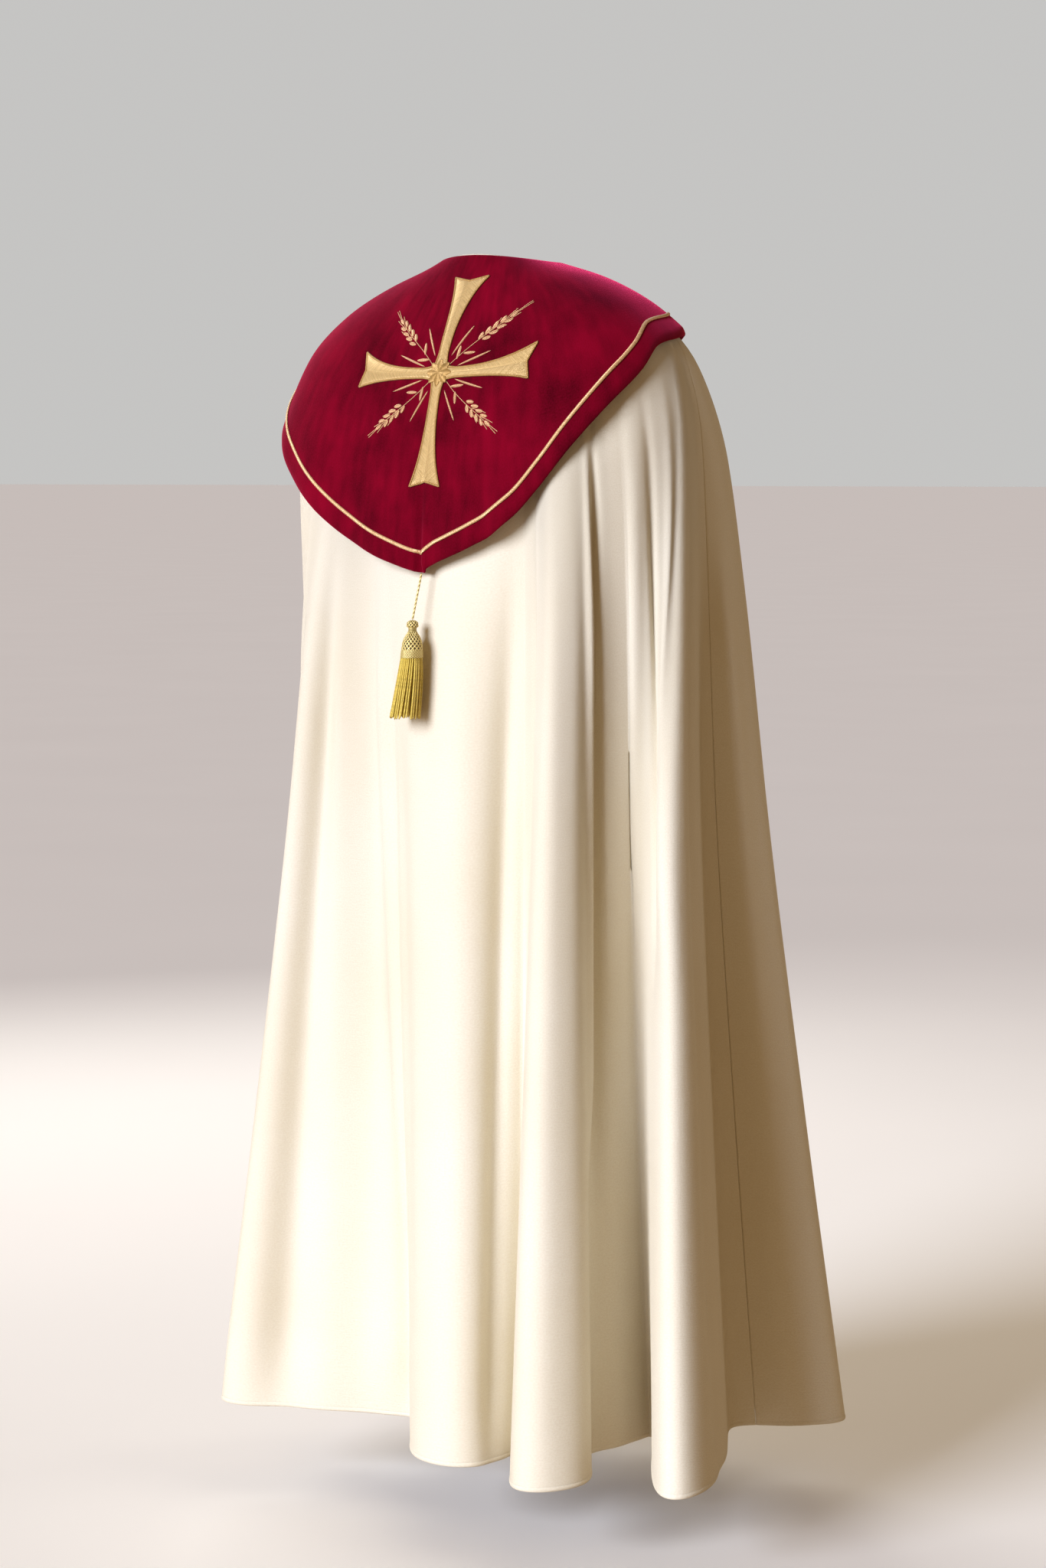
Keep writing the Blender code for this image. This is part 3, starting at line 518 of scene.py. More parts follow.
# Materials
WARP_PITCH, WEFT_PITCH, WEAVE_SHARE = 0.0011, 0.0009, 0.35
CLOTH_LIGHT, CLOTH_WARM, CLOTH_GRAIN = (0.89, 0.83, 0.67), (0.84, 0.76, 0.57), (0.71, 0.60, 0.40)
PILE_DEEP, PILE_LIT, PILE_NAP = (0.042, 0.0001, 0.0016), (0.185, 0.0005, 0.0098), (0.21, 0.0010, 0.020)
# The tassel's gold: a near-black painted shade for the hollows of its net and cord, and its fibres' two
# tones
NET_HOLLOW_SHADE, NET_DARK, NET_LIGHT = (0.045, 0.026, 0.004), (0.70, 0.54, 0.18), (0.88, 0.72, 0.28)


class Finish:
    """A procedural material under construction: its nodes, by short calls."""

    def __init__(self, name):
        self.material = bpy.data.materials.new(name)
        self.material.use_nodes = True
        self.tree = self.material.node_tree
        self.shader = self.tree.nodes["Principled BSDF"]

    def node(self, kind, inputs=(), **settings):
        """A new node, each of whose inputs is linked to a socket or set to a value."""
        made = self.tree.nodes.new("ShaderNode" + kind)
        for name, value in settings.items():
            setattr(made, name, value)
        for socket, value in dict(inputs).items():
            if isinstance(value, bpy.types.NodeSocket):
                self.tree.links.new(value, made.inputs[socket])
            else:
                made.inputs[socket].default_value = value
        return made

    def math(self, operation, a, b=0.0):
        """A sum, product or sine."""
        return self.node("Math", {0: a, 1: b}, operation=operation).outputs[0]

    def place(self, source="UV"):
        """Where a point is on the piece's own pattern, or in space."""
        return self.node("TexCoord").outputs[source]

    def noise(self, vector, scale, detail=3.0, rough=0.5):
        """Round spots, so many a metre."""
        made = self.node("TexNoise", {"Vector": vector, "Scale": scale, "Detail": detail,
                                      "Roughness": rough})
        return made.outputs["Fac"]

    def streaks(self, vector, per_u, per_v, detail=2.0):
        """Noise with so many spots a metre along u and so many along v."""
        spread = self.node("Mapping", {"Vector": vector, "Scale": (per_u, per_v, 1.0)}).outputs[0]
        return self.noise(spread, 1.0, detail)

    def ramp(self, value, low, high, to_low=0.0, to_high=1.0):
        """A value stretched from one range to another."""
        made = self.node("MapRange", {"Value": value, "From Min": low, "From Max": high,
                                      "To Min": to_low, "To Max": to_high})
        return made.outputs[0]

    def mix(self, share, first, second):
        """The first colour, giving way to the second as the share goes from 0 to 1."""
        made = self.node("Mix", data_type="RGBA")
        for socket, value in ((0, share), (6, first), (7, second)):
            if isinstance(value, bpy.types.NodeSocket):
                self.tree.links.new(value, made.inputs[socket])
            else:
                made.inputs[socket].default_value = value if socket == 0 else (*value, 1.0)
        return made.outputs[2]

    def wave(self, vector, axis, pitch):
        """A sine of the given pitch, in metres, along one axis of the vector: from -1 to 1."""
        split = self.node("SeparateXYZ", {0: vector}).outputs[axis]
        return self.math("SINE", self.math("MULTIPLY", split, 2 * math.pi / pitch))

    def bump(self, height, distance, strength):
        """Fine relief in the surface's shading."""
        return self.node("Bump", {"Height": height, "Distance": distance, "Strength": strength}).outputs[0]

    def set(self, **values):
        """Sets or links the shader's own sockets, and returns the finished material."""
        for name, value in values.items():
            socket = self.shader.inputs[name.replace("_", " ")]
            if isinstance(value, bpy.types.NodeSocket):
                self.tree.links.new(value, socket)
            else:
                socket.default_value = (*value, 1.0) if isinstance(value, tuple) else value
        return self.material


def ivory_cloth():
    """Wool and silk cloth: a fine weave, slightly uneven yarns across it and a soft satin sheen."""
    f = Finish("ivory_cloth")
    uv = f.place()
    soft = f.noise(uv, 3.0, 2.0)
    yarns = f.streaks(uv, 60.0, 520.0)
    grain = f.streaks(uv, 340.0, 480.0, 3.0)
    weave = f.math("MULTIPLY", f.wave(uv, 0, WARP_PITCH), f.wave(uv, 1, WEFT_PITCH))
    tone = f.mix(f.ramp(soft, 0.3, 0.7), CLOTH_LIGHT, CLOTH_WARM)
    tone = f.mix(f.ramp(grain, 0.30, 0.75, 0.0, 0.40), tone, CLOTH_GRAIN)
    height = f.math("ADD", f.math("MULTIPLY", weave, WEAVE_SHARE), f.math("ADD", yarns, grain))
    return f.set(Base_Color=tone, Roughness=f.ramp(grain, 0.2, 0.8, 0.38, 0.52), Specular_IOR_Level=0.55,
                 Sheen_Weight=0.25, Sheen_Roughness=0.45, Sheen_Tint=(1.0, 0.93, 0.80),
                 Normal=f.bump(height, 0.00034, 0.9))


def crimson_velvet():
    """Pile velvet: dark where the pile is seen end on, bright at grazing angles, with pressed patches."""
    f = Finish("crimson_velvet")
    uv = f.place()
    patches = f.noise(uv, 9.0, 3.0, 0.55)
    streaks = f.streaks(uv, 70.0, 18.0)
    nap = f.streaks(uv, 700.0, 420.0)
    pressed = f.math("ADD", f.math("MULTIPLY", patches, 0.7), f.math("MULTIPLY", streaks, 0.3))
    tone = f.mix(f.ramp(pressed, 0.35, 0.65), PILE_DEEP, PILE_LIT)
    tone = f.mix(f.ramp(nap, 0.3, 0.8, 0.0, 0.35), tone, PILE_NAP)
    return f.set(Base_Color=tone, Roughness=0.92, Specular_IOR_Level=0.03, Sheen_Weight=1.0,
                 Sheen_Roughness=0.38, Sheen_Tint=(0.92, 0.060, 0.19),
                 Normal=f.bump(f.math("ADD", nap, f.math("MULTIPLY", patches, 2.0)), 0.0005, 0.7))


def gold_satin(name, light, dark, pitch=0.00055, slant=0.0, metal=0.45, rough=0.38):
    """Satin stitch in gold thread: fine parallel threads across the line that they cover."""
    f = Finish(name)
    uv = f.place()
    turned = f.node("Mapping", {"Vector": uv, "Rotation": (0.0, 0.0, slant)}).outputs[0]
    thread = f.wave(turned, 0, pitch)
    uneven = f.streaks(turned, 900.0, 60.0)
    # The colour is darker in the grooves between the threads, as painted shade, and uneven at random along
    # them
    share = f.ramp(f.math("ADD", f.math("MULTIPLY", thread, 0.25), uneven), 0.2, 0.8)
    return f.set(Base_Color=f.mix(share, dark, light), Metallic=metal, Roughness=rough,
                 Specular_IOR_Level=0.6, Sheen_Weight=0.15, Sheen_Roughness=0.4,
                 Normal=f.bump(f.math("ADD", thread, uneven), 0.00012, 0.8))


def netted_gold():
    """Gold thread of the tassel's head and cord, with painted shade where the piece's relief goes down."""
    f = Finish("head_gold")
    relief = f.node("Attribute", attribute_name="relief").outputs["Fac"]
    fibre = f.streaks(f.place(), 1500.0, 300.0)
    tone = f.mix(f.ramp(fibre, 0.3, 0.7), NET_DARK, NET_LIGHT)
    # Painted shade: the colour goes near black where the relief is low
    tone = f.mix(f.ramp(relief, 0.20, 0.62), NET_HOLLOW_SHADE, tone)
    return f.set(Base_Color=tone, Metallic=0.35, Roughness=0.36, Specular_IOR_Level=0.6,
                 Normal=f.bump(fibre, 0.0001, 0.7))


def plain_studio(name, colour, thrown, roughness):
    """A plain studio surface: one colour as seen, and a warmer one in the light that it throws back."""
    f = Finish(name)
    spots = f.noise(f.place("Object"), 1.2, 2.0)
    deep = tuple(0.96 * c for c in colour)
    seen = f.node("LightPath").outputs["Is Camera Ray"]
    return f.set(Base_Color=f.mix(seen, thrown, f.mix(spots, colour, deep)), Roughness=roughness)


IVORY = ivory_cloth()
CRIMSON = crimson_velvet()
THREAD_IVORY = gold_satin("ivory_thread", (0.88, 0.82, 0.70), (0.72, 0.64, 0.50), pitch=0.0006, slant=0.5,
                          metal=0.0, rough=0.5)
BRAID_GOLD = gold_satin("braid_gold", (1.0, 0.68, 0.34), (0.56, 0.30, 0.12), pitch=0.0008, slant=0.35)
CROSS_GOLD = gold_satin("cross_gold", (1.0, 0.72, 0.32), (0.56, 0.36, 0.12))
OUTLINE_GOLD = gold_satin("outline_gold", (0.66, 0.40, 0.12), (0.24, 0.13, 0.03), pitch=0.0010)
LEAF_GOLD = gold_satin("leaf_gold", (1.0, 0.62, 0.32), (0.54, 0.28, 0.12), pitch=0.0006, slant=0.7)
HEAD_GOLD = netted_gold()
SKIRT_GOLD = gold_satin("skirt_gold", (0.94, 0.70, 0.11), (0.42, 0.29, 0.03), pitch=0.0009, slant=0.8,
                        metal=0.25)


# Camera, lights and floor
def camera():
    """The photograph's own view: from behind, on the wearer's right, looking a little down."""
    data = bpy.data.cameras.new("camera")
    data.lens, data.sensor_width = LENS, LONG_SIDE
    item = bpy.data.objects.new("camera", data)
    item.location = TO_CAMERA * CAMERA_AWAY + IMAGE_RIGHT * CAMERA_SIDE + [0, 0, CAMERA_UP + FLOOR]
    item.rotation_euler = (math.pi / 2 - PITCH, 0, math.pi + TURN)
    bpy.context.collection.objects.link(item)
    bpy.context.scene.camera = item


def lamp(name, right, towards, up, width, high, power, colour):
    """A soft rectangular lamp, placed by the image's right, the camera's side and up from the aim."""
    data = bpy.data.lights.new(name, "AREA")
    data.shape, data.size, data.size_y = "RECTANGLE", width, high
    data.energy, data.color = power, colour
    item = bpy.data.objects.new(name, data)
    place = Vector(AIM + IMAGE_RIGHT * right + TO_CAMERA * towards + UP * up)
    item.location = place
    item.rotation_euler = (Vector(AIM) - place).to_track_quat("-Z", "Y").to_euler()
    bpy.context.collection.objects.link(item)


def key_light():
    """A soft low sun from the image's left."""
    data = bpy.data.lights.new("key", "SUN")
    data.energy, data.angle, data.color = KEY_POWER, KEY_ANGLE, KEY_COLOUR
    sun = bpy.data.objects.new("key", data)
    sun.rotation_euler = Vector(KEY_FROM).to_track_quat("Z", "Y").to_euler()
    bpy.context.collection.objects.link(sun)


def sky():
    """A weak warm sky in the light that it throws, and a plain pale one as seen."""
    world = bpy.data.worlds.new("studio")
    world.use_nodes = True
    tree = world.node_tree
    weak = tree.nodes["Background"]
    weak.inputs[0].default_value = SKY_THROWN
    weak.inputs[1].default_value = SKY_STRENGTH
    pale = tree.nodes.new("ShaderNodeBackground")
    pale.inputs[0].default_value = SKY_SEEN
    seen, both = tree.nodes.new("ShaderNodeLightPath"), tree.nodes.new("ShaderNodeMixShader")
    tree.links.new(seen.outputs["Is Camera Ray"], both.inputs[0])
    tree.links.new(weak.outputs[0], both.inputs[1])
    tree.links.new(pale.outputs[0], both.inputs[2])
    tree.links.new(both.outputs[0], tree.nodes["World Output"].inputs["Surface"])
    bpy.context.scene.world = world
    bpy.context.scene.view_settings.view_transform = "Standard"


def floor():
    """A plain floor under the hem, far wider than the view."""
    mesh = bpy.data.meshes.new("floor")
    corners = [(x * FLOOR_REACH, y * FLOOR_REACH, FLOOR) for x, y in ((-1, -1), (1, -1), (1, 1), (-1, 1))]
    mesh.from_pydata(corners, [], [(0, 1, 2, 3)])
    mesh.materials.append(plain_studio("floor", FLOOR_SEEN, FLOOR_THROWN, 0.8))
    item = bpy.data.objects.new("floor", mesh)
    bpy.context.collection.objects.link(item)


camera()
key_light()
for row in LAMPS:
    lamp(*row)
sky()
floor()


# Cord and tassel
TIP_TURN = np.array([HOOD_TIP])
TIP = hood(TIP_TURN, share_down(TIP_TURN, hood_length(TIP_TURN)))[0] - np.array([0.0, VELVET / 2, 0.0])
KNOB_TOP = TIP + np.array(TASSEL_HANG)


def tassel_cord():
    """The twisted cord from the hood's point to the tassel's knob, straight under its weight."""
    start, end = TIP - [0, 0, CORD_SEAT], KNOB_TOP + [0, 0, SEAM_GAP]
    path = start + (end - start) * np.linspace(0, 1, 90)[:, None]
    up = np.broadcast_to([0.0, 1.0, 0.0], path.shape)
    points, uv = tube(path, up, CORD_WIDE / 2, 2, CORD_PITCH, CORD_AROUND, deep=0.34, close=0.5)
    reach = np.linalg.norm(points - path[:, None], axis=2) / (CORD_WIDE / 2)
    # The cord's relief, which the gold turns into painted shade in the grooves of its twist
    item = piece("cord_of_tassel", points, tube_faces(len(path), CORD_AROUND), uv, HEAD_GOLD,
                 ["tassel_cord"], np.clip((reach - 0.66) / 0.30, 0, 1))


def tassel_head():
    """The turned head: a netted knob, a wrapped neck, a netted dome and a woven band. Its relief is a
    cosine net of crossing cords, or rings, or rings crossed by cords, and its hollows get painted shade."""
    turns, rows = 180, 190
    drop = np.linspace(0.0006, TASSEL_HEAD[-1, 0] + 0.0008, rows)
    angle = np.linspace(0, 2 * math.pi, turns, endpoint=False)
    radius = ease(np.concatenate([[0.0], TASSEL_HEAD[:, 0]]), np.concatenate([[0.0012], TASSEL_HEAD[:, 1]]),
                  drop)
    run = np.concatenate([[0], np.cumsum(np.hypot(np.diff(radius), np.diff(drop)))])
    a, s = np.meshgrid(angle, run, indexing="ij")
    d = np.broadcast_to(drop, a.shape)

    def net(count, pitch, high):
        one = np.abs(np.cos((count * a + 2 * math.pi * s / pitch) / 2))
        two = np.abs(np.cos((count * a - 2 * math.pi * s / pitch) / 2))
        return high * (np.maximum(one, two) ** 4 - NET_LEVEL)

    knob, neck, dome = d < KNOB_FOOT, d < NECK_FOOT, d < DOME_FOOT
    wraps = WRAP_HIGH * np.cos(2 * math.pi * s / WRAP_PITCH)
    band = BAND_HIGH * np.cos(BAND_CORDS * a) * np.cos(2 * math.pi * s / BAND_PITCH)
    relief = np.where(knob, net(*KNOB_NET), np.where(neck, wraps, np.where(dome, net(*DOME_NET), band)))
    # Each point's relief from 0 to 1, which the gold turns into painted shade where it is low
    relief_for_shade = np.clip(relief / np.where(knob, KNOB_NET[2], DOME_NET[2]) + NET_LEVEL, 0, 1)
    relief_for_shade = np.where(neck & ~knob, 0.5 + relief / (2 * WRAP_HIGH), relief_for_shade)
    relief_for_shade = np.where(dome, relief_for_shade, 0.55 + relief / BAND_DEPTH)
    r = radius[None, :] + relief * np.clip(run / 0.002, 0, 1)
    lean = HEAD_LEAN * (d / TASSEL_HEAD[-1, 0]) ** 2
    points = KNOB_TOP + np.stack([r * np.cos(a) + lean, r * np.sin(a), -d], -1)
    ends = KNOB_TOP + np.array([[0, 0, -0.0003], [lean[0, -1], 0, -drop[-1]]])
    points = np.concatenate([points.reshape(-1, 3), ends])
    first = np.arange(turns)
    after = (first + 1) % turns
    j = np.arange(rows - 1)
    quads = np.stack([first[:, None] * rows + j, first[:, None] * rows + j + 1,
                      after[:, None] * rows + j + 1, after[:, None] * rows + j], -1).reshape(-1, 4)
    crown = np.stack([after * rows, 0 * first + turns * rows, first * rows], -1)
    foot = np.stack([first * rows + rows - 1, 0 * first + turns * rows + 1, after * rows + rows - 1], -1)
    uv = np.concatenate([np.stack([a * 0.010, s], -1).reshape(-1, 2), np.zeros((2, 2))])
    return piece("head_of_tassel", points, quads.tolist() + crown.tolist() + foot.tolist(), uv, HEAD_GOLD,
                 ["tassel"], np.concatenate([relief_for_shade.ravel(), [0.4, 0.4]]))


def tassel_skirt():
    """Four rings of twisted cords that hang from under the band and swing a little outwards."""
    root = KNOB_TOP - [0, 0, TASSEL_HEAD[-1, 0]]
    t = np.linspace(0, 1, 46)
    around = 8
    points, uvs = [], []
    for ring, (count, reach, spread) in enumerate(SKIRT_RINGS):
        for k in range(count):
            # Each cord's own waywardness, from -1 to 1 and the same at each run
            wild = math.sin(7.3 * k + 2.1 * ring) * 0.5 + math.sin(3.1 * k + ring) * 0.5
            a = 2 * math.pi * (k + 0.18 * wild + 0.37 * ring) / count
            out = reach * (1 + (spread - 1) * t ** 0.8) + 0.0009 * np.sin(math.pi * t) * wild
            turn = a + 0.10 * wild * t
            fall = (TASSEL_SKIRT + 0.0022 * wild - 0.0015 * ring) * t
            swing = HEAD_LEAN + SKIRT_SWING * t ** 1.2
            path = root + np.stack([out * np.cos(turn) + swing, out * np.sin(turn), -fall], -1)
            up = np.stack([np.cos(turn), np.sin(turn), 0 * turn], -1)
            thick = SKIRT_CORD - SKIRT_THINNER * ring + 0.0001 * math.sin(5 * k)
            pitch = SKIRT_PITCH + 0.0012 * math.sin(len(points))
            cord, uv = tube(path, up, thick, 2, pitch, around, deep=0.24, close=0.45)
            points.append(cord.reshape(-1, 3))
            uvs.append(uv.reshape(-1, 2))
    firsts = len(t) * around * np.arange(len(points))
    faces = (tube_faces(len(t), around)[None] + firsts[:, None, None]).reshape(-1, 4)
    return piece("skirt_of_tassel", np.concatenate(points), faces, np.concatenate(uvs), SKIRT_GOLD,
                 ["tassel"])


tassel_cord()
tassel_head()
tassel_skirt()


# The cope's cloth
def near_steps(start, stop, count, radius):
    """Even steps between two places, with the extra ones that a rounded edge at each end needs."""
    edge = edge_steps(radius)
    clear = radius * 1.6
    inner = np.linspace(start + clear, stop - clear, count)
    return np.concatenate([start + edge, inner, (stop - edge)[::-1]])


def cloth_panel(name, node, start, stop, count, gap_start, gap_stop):
    """A cut panel: a wall of cloth whose faces draw together in a rounded rim, sunk towards its sides,
    thicker along its turned hem and pressed in along the hem's stitching."""
    place = near_steps(start + gap_start / 2, stop - gap_stop / 2, count, ROLL)
    hem_rows = np.concatenate([edge_steps(ROLL), HEM_ROWS]) / CLOTH_LONG
    share = np.concatenate([edge_steps(ROLL) / CLOTH_LONG, np.linspace(TOP_ROW, 1 - HEM_ROW, PANEL_ROWS),
                            (1 - hem_rows)[::-1]])
    a, b = np.meshgrid(place, share, indexing="ij")
    middle = creased(a, b)
    n = normals(middle)
    down = run_down(middle)
    to_hem = down[:, -1:] - down
    to_side = np.minimum(a - place[0], place[-1] - a)
    rim = rounded(np.minimum(np.minimum(to_hem, down), to_side), ROLL)
    turned = HEM_SWELL * np.exp(-((to_hem - HEM_FULL) / HEM_FULL) ** 2)
    stitched = PRESS * np.exp(-((to_hem - HEM_STITCH) / PRESS_WIDE) ** 2)
    sunk = SIDE_SINK * (1 - rounded(to_side, SIDE_WIDE))
    out = (CLOTH / 2 * rim + turned * rim - stitched - sunk)[..., None]
    inn = (CLOTH / 2 * rim + turned * HEM_INSIDE * rim + sunk)[..., None]
    points = np.stack([middle + n * out, middle - n * inn])
    item = piece(name, points, shell_faces(*a.shape), both_faces(a, down, INNER_ASIDE, INNER_BELOW),
                 IVORY, [node])


# Each panel's name and node, where it starts and stops along the hem, its grid's columns and the
# gaps at its two sides
PANELS = (("cloth_front_left", "cope_front_left", 0.0, SEAM_LEFT, 120, 0.0, SEAM_GAP),
          ("cloth_back", "cope_back", SEAM_LEFT, SEAM_RIGHT, 300, SEAM_GAP, SEAM_GAP),
          ("cloth_front_right", "cope_front_right", SEAM_RIGHT, LENGTH[-1], 120, SEAM_GAP, 0.0))
for panel in PANELS:
    cloth_panel(*panel)


def lozenges(name, centre, along, up, length, width, high, material):
    """Many small stitches: each a lozenge of six points, along a line and raised from it."""
    side = unit(np.cross(up, along))
    corners = np.stack([centre - along * length / 2, centre + side * width / 2, centre + along * length / 2,
                        centre - side * width / 2, centre + up * high, centre - up * high], 1)
    one = np.array([(0, 1, 4), (1, 2, 4), (2, 3, 4), (3, 0, 4), (1, 0, 5), (2, 1, 5), (3, 2, 5), (0, 3, 5)])
    one = one[:, ::-1]
    faces = (one[None] + 6 * np.arange(len(centre))[:, None, None]).reshape(-1, 3)
    uv = np.zeros((len(centre), 6, 2))
    uv[..., 0] = np.arange(len(centre))[:, None] * length + np.array([0, 0.5, 1, 0.5, 0.5, 0.5]) * length
    return piece(name, corners, faces, uv, material, ())


def hem_stitches():
    """The row of stitches that holds the turned hem, a step apart along all three panels."""
    place = np.arange(STITCH_CLEAR, LENGTH[-1] - STITCH_CLEAR, STITCH_STEP)
    share = 1 - HEM_STITCH / CLOTH_LONG
    centre = creased(place, share)
    along = unit(creased(place + STITCH_REACH, share) - creased(place - STITCH_REACH, share))
    up = unit(np.cross(along, creased(place, share + 0.001) - creased(place, share - 0.001)))
    away = outward(cope, place, np.full_like(place, share), -STITCH_REACH, 0.002)
    up = up * np.sign((up * away).sum(1))[:, None]
    return lozenges("stitches_of_hem", centre + up * (CLOTH / 2 - STITCH_SUNK), along, up, STITCH_LONG,
                    STITCH_WIDE, STITCH_HIGH, THREAD_IVORY)


hem_stitches()


# The hood and what is laid on it
def hood_face():
    """The velvet hood: a wall whose free edge is turned under in a full round. Returns its area too."""
    side = np.degrees(edge_steps(ROLL) / HOOD_SIDE)
    turns = np.concatenate([-HOOD_END + side, np.linspace(1 - HOOD_END, HOOD_END - 1, HOOD_TURNS),
                            HOOD_END - side[::-1]])[::-1]
    edge = edge_steps(HOOD_ROLL, 6)[::-1]
    rows = np.concatenate([edge_steps(ROLL), np.linspace(0.005, 1, HOOD_ROWS)[:-1]])
    far = share_down(turns, hood_length(turns))
    share = np.concatenate([HOOD_NECK + (far - HOOD_NECK)[:, None] * rows[None, :] * HOOD_EVEN,
                            far[:, None] - edge[None, :] / HOOD_RUN], axis=1)
    share = np.sort(share, axis=1)
    a = np.broadcast_to(turns[:, None], share.shape)
    outer = hood(a, share)
    n = normals(outer)
    down = run_down(outer)
    to_edge = down[:, -1:] - down
    arc = np.radians(HOOD_END - np.abs(a)) * HOOD_SIDE
    rim = rounded(np.minimum(np.minimum(to_edge, down), arc), HOOD_RIM)
    plump = HOOD_PLUMP * np.exp(-((to_edge - PLUMP_FROM) / PLUMP_FROM) ** 2)
    curl = HOOD_CURL * np.exp(-(to_edge / CURL_FROM) ** 2)
    middle = outer - n * (VELVET / 2 + curl)[..., None]
    half = ((VELVET / 2 + plump) * rim)[..., None]
    points = np.stack([middle + n * half, middle - n * half])
    item = piece("hood_of_velvet", points, shell_faces(*a.shape),
                 both_faces(np.radians(a) * HOOD_GIRTH, down, 0.0, 0.5), CRIMSON, ["hood"])
    return item, grid_area(outer, down)


def braid():
    """A raised line of slanted satin stitch round the hood, a rounded strip along a line on it, whose
    height rises and falls once a ply."""
    dense = np.linspace(-BRAID_END, BRAID_END, 1201)
    inset = BRAID_INSET + BRAID_MORE * np.minimum(np.abs(dense - HOOD_TIP) / BRAID_MORE_FROM, 1)
    shares = share_down(dense, hood_length(dense) - inset)
    run = run_along(on_hood(dense, shares, 0.0 * dense))
    steps = np.linspace(0, run[-1], int(run[-1] / BRAID_STEP))
    turns = np.interp(steps, run, dense)
    share = np.interp(turns, dense, shares)
    centre = on_hood(turns, share, 0.0 * turns)
    n = outward(hood, turns, share, 0.8, 0.002)
    side = np.cross(n, unit(np.gradient(centre, axis=0)))
    around = 12
    a = np.linspace(0, 2 * math.pi, around, endpoint=False)
    ply = steps[:, None] / BRAID_PLY + np.cos(a)[None, :] * BRAID_SLANT
    ridge = 1 + BRAID_SWELL * np.cos(2 * math.pi * ply)
    wide, high = BRAID_WIDTH / 2 * BRAID_FILL, (BRAID_HIGH + LAID_GAP) / 2 + BRAID_PROUD
    x = wide * np.cos(a)[None, :] + 0 * ridge
    y = BRAID_SEAT + high * np.sin(a)[None, :] * ridge
    points = centre[:, None] + side[:, None] * x[..., None] + n[:, None] * y[..., None]
    uv = np.stack(np.broadcast_arrays(steps[:, None], a[None, :] * wide), -1)
    return piece("braid_of_hood", points, tube_faces(len(steps), around), uv, BRAID_GOLD, ["hood_braid"])


def cross_outline():
    """The cross's outline in metres sideways and down from its middle, arm after arm."""
    reach = np.linspace(0, 1, 40)
    core = CROSS_ARM[0, 1]
    corners = []
    for hx, hy, length in CROSS_ARMS:
        half = ease(CROSS_ARM[:, 0], CROSS_ARM[:, 1], reach)
        out = core + (length - core) * reach
        across = np.linspace(-1, 1, 15)
        end = length + CROSS_CLEFT * (1 - np.abs(across))
        ways = ((out, -half), (end, across * half[-1]), (out[::-1], half[::-1]))
        for forward, sideways in ways:
            corners.append(np.stack([hx * forward - hy * sideways, hy * forward + hx * sideways], -1))
    return np.concatenate(corners)


def laid_cords(name, lines, radius, pitch, around, material):
    """Twisted cords couched on the hood along lines given in metres sideways and down on its back.
    Each line is walked in even steps, and its cord is half sunk in what it lies on."""
    parts = []
    for line, lifts in lines:
        run = run_along(line)
        keep = np.concatenate([[True], np.diff(run) > 1e-6])
        steps = np.linspace(0, run[-1], max(12, int(run[-1] / (pitch * 0.26))))
        x, y = (np.interp(steps, run[keep], line[keep, k]) for k in (0, 1))
        lift = np.interp(steps / run[-1], np.linspace(0, 1, len(lifts)), lifts)
        path = on_back(x, y, lift)
        points, uv = tube(path, on_back(x, y, lift + 0.002) - path, radius, 2, pitch, around, close=0.8)
        parts.append((points, tube_faces(len(path), around), uv))
    points, faces, uv = joined(parts)
    return piece(name, points, faces, uv, material, ())


def cross_face():
    """The cross's raised stitching: on each arm two banks that rise from the outline and meet in a
    furrow along its middle, over a flat underside."""
    core = CROSS_ARM[0, 1] * 0.55
    t, a = np.meshgrid(np.linspace(0, 1, 150), np.linspace(-1, 1, 21), indexing="ij")
    half = ease(CROSS_ARM[:, 0], CROSS_ARM[:, 1], t)
    pinch = np.clip(t / 0.06, 0, 1) * 0.35 + 0.65
    bank = np.sqrt(np.clip(1 - (2 * np.abs(a) - 1) ** 2, 0, 1))
    parts = []
    for hx, hy, length in CROSS_ARMS:
        out = core + (length - core) * t + CROSS_CLEFT * (1 - np.abs(a)) * t ** 6
        x, y = hx * out - hy * a * half * pinch, hy * out + hx * a * half * pinch
        rise = (0.35 + 0.65 * bank) * rounded(np.minimum(1 - np.abs(a), (1 - t) * 6), 0.5)
        slant = out + np.abs(a) * half * 0.9
        rise = np.maximum(rise, 0.12) + 0.10 * np.cos(2 * math.pi * slant / CROSS_PLY) * bank
        top = on_back(x, CROSS_DOWN + y, LAID_GAP + (CROSS_HIGH + CROSS_MORE) * rise)
        low = on_back(x, CROSS_DOWN + y, 0 * rise + CROSS_SEAT)
        parts.append((np.stack([top, low]), shell_faces(*t.shape), both_faces(slant, a * half)))
    points, faces, uv = joined(parts)
    return piece("cross_of_hood", points, faces, uv, CROSS_GOLD, ["hood_cross"])


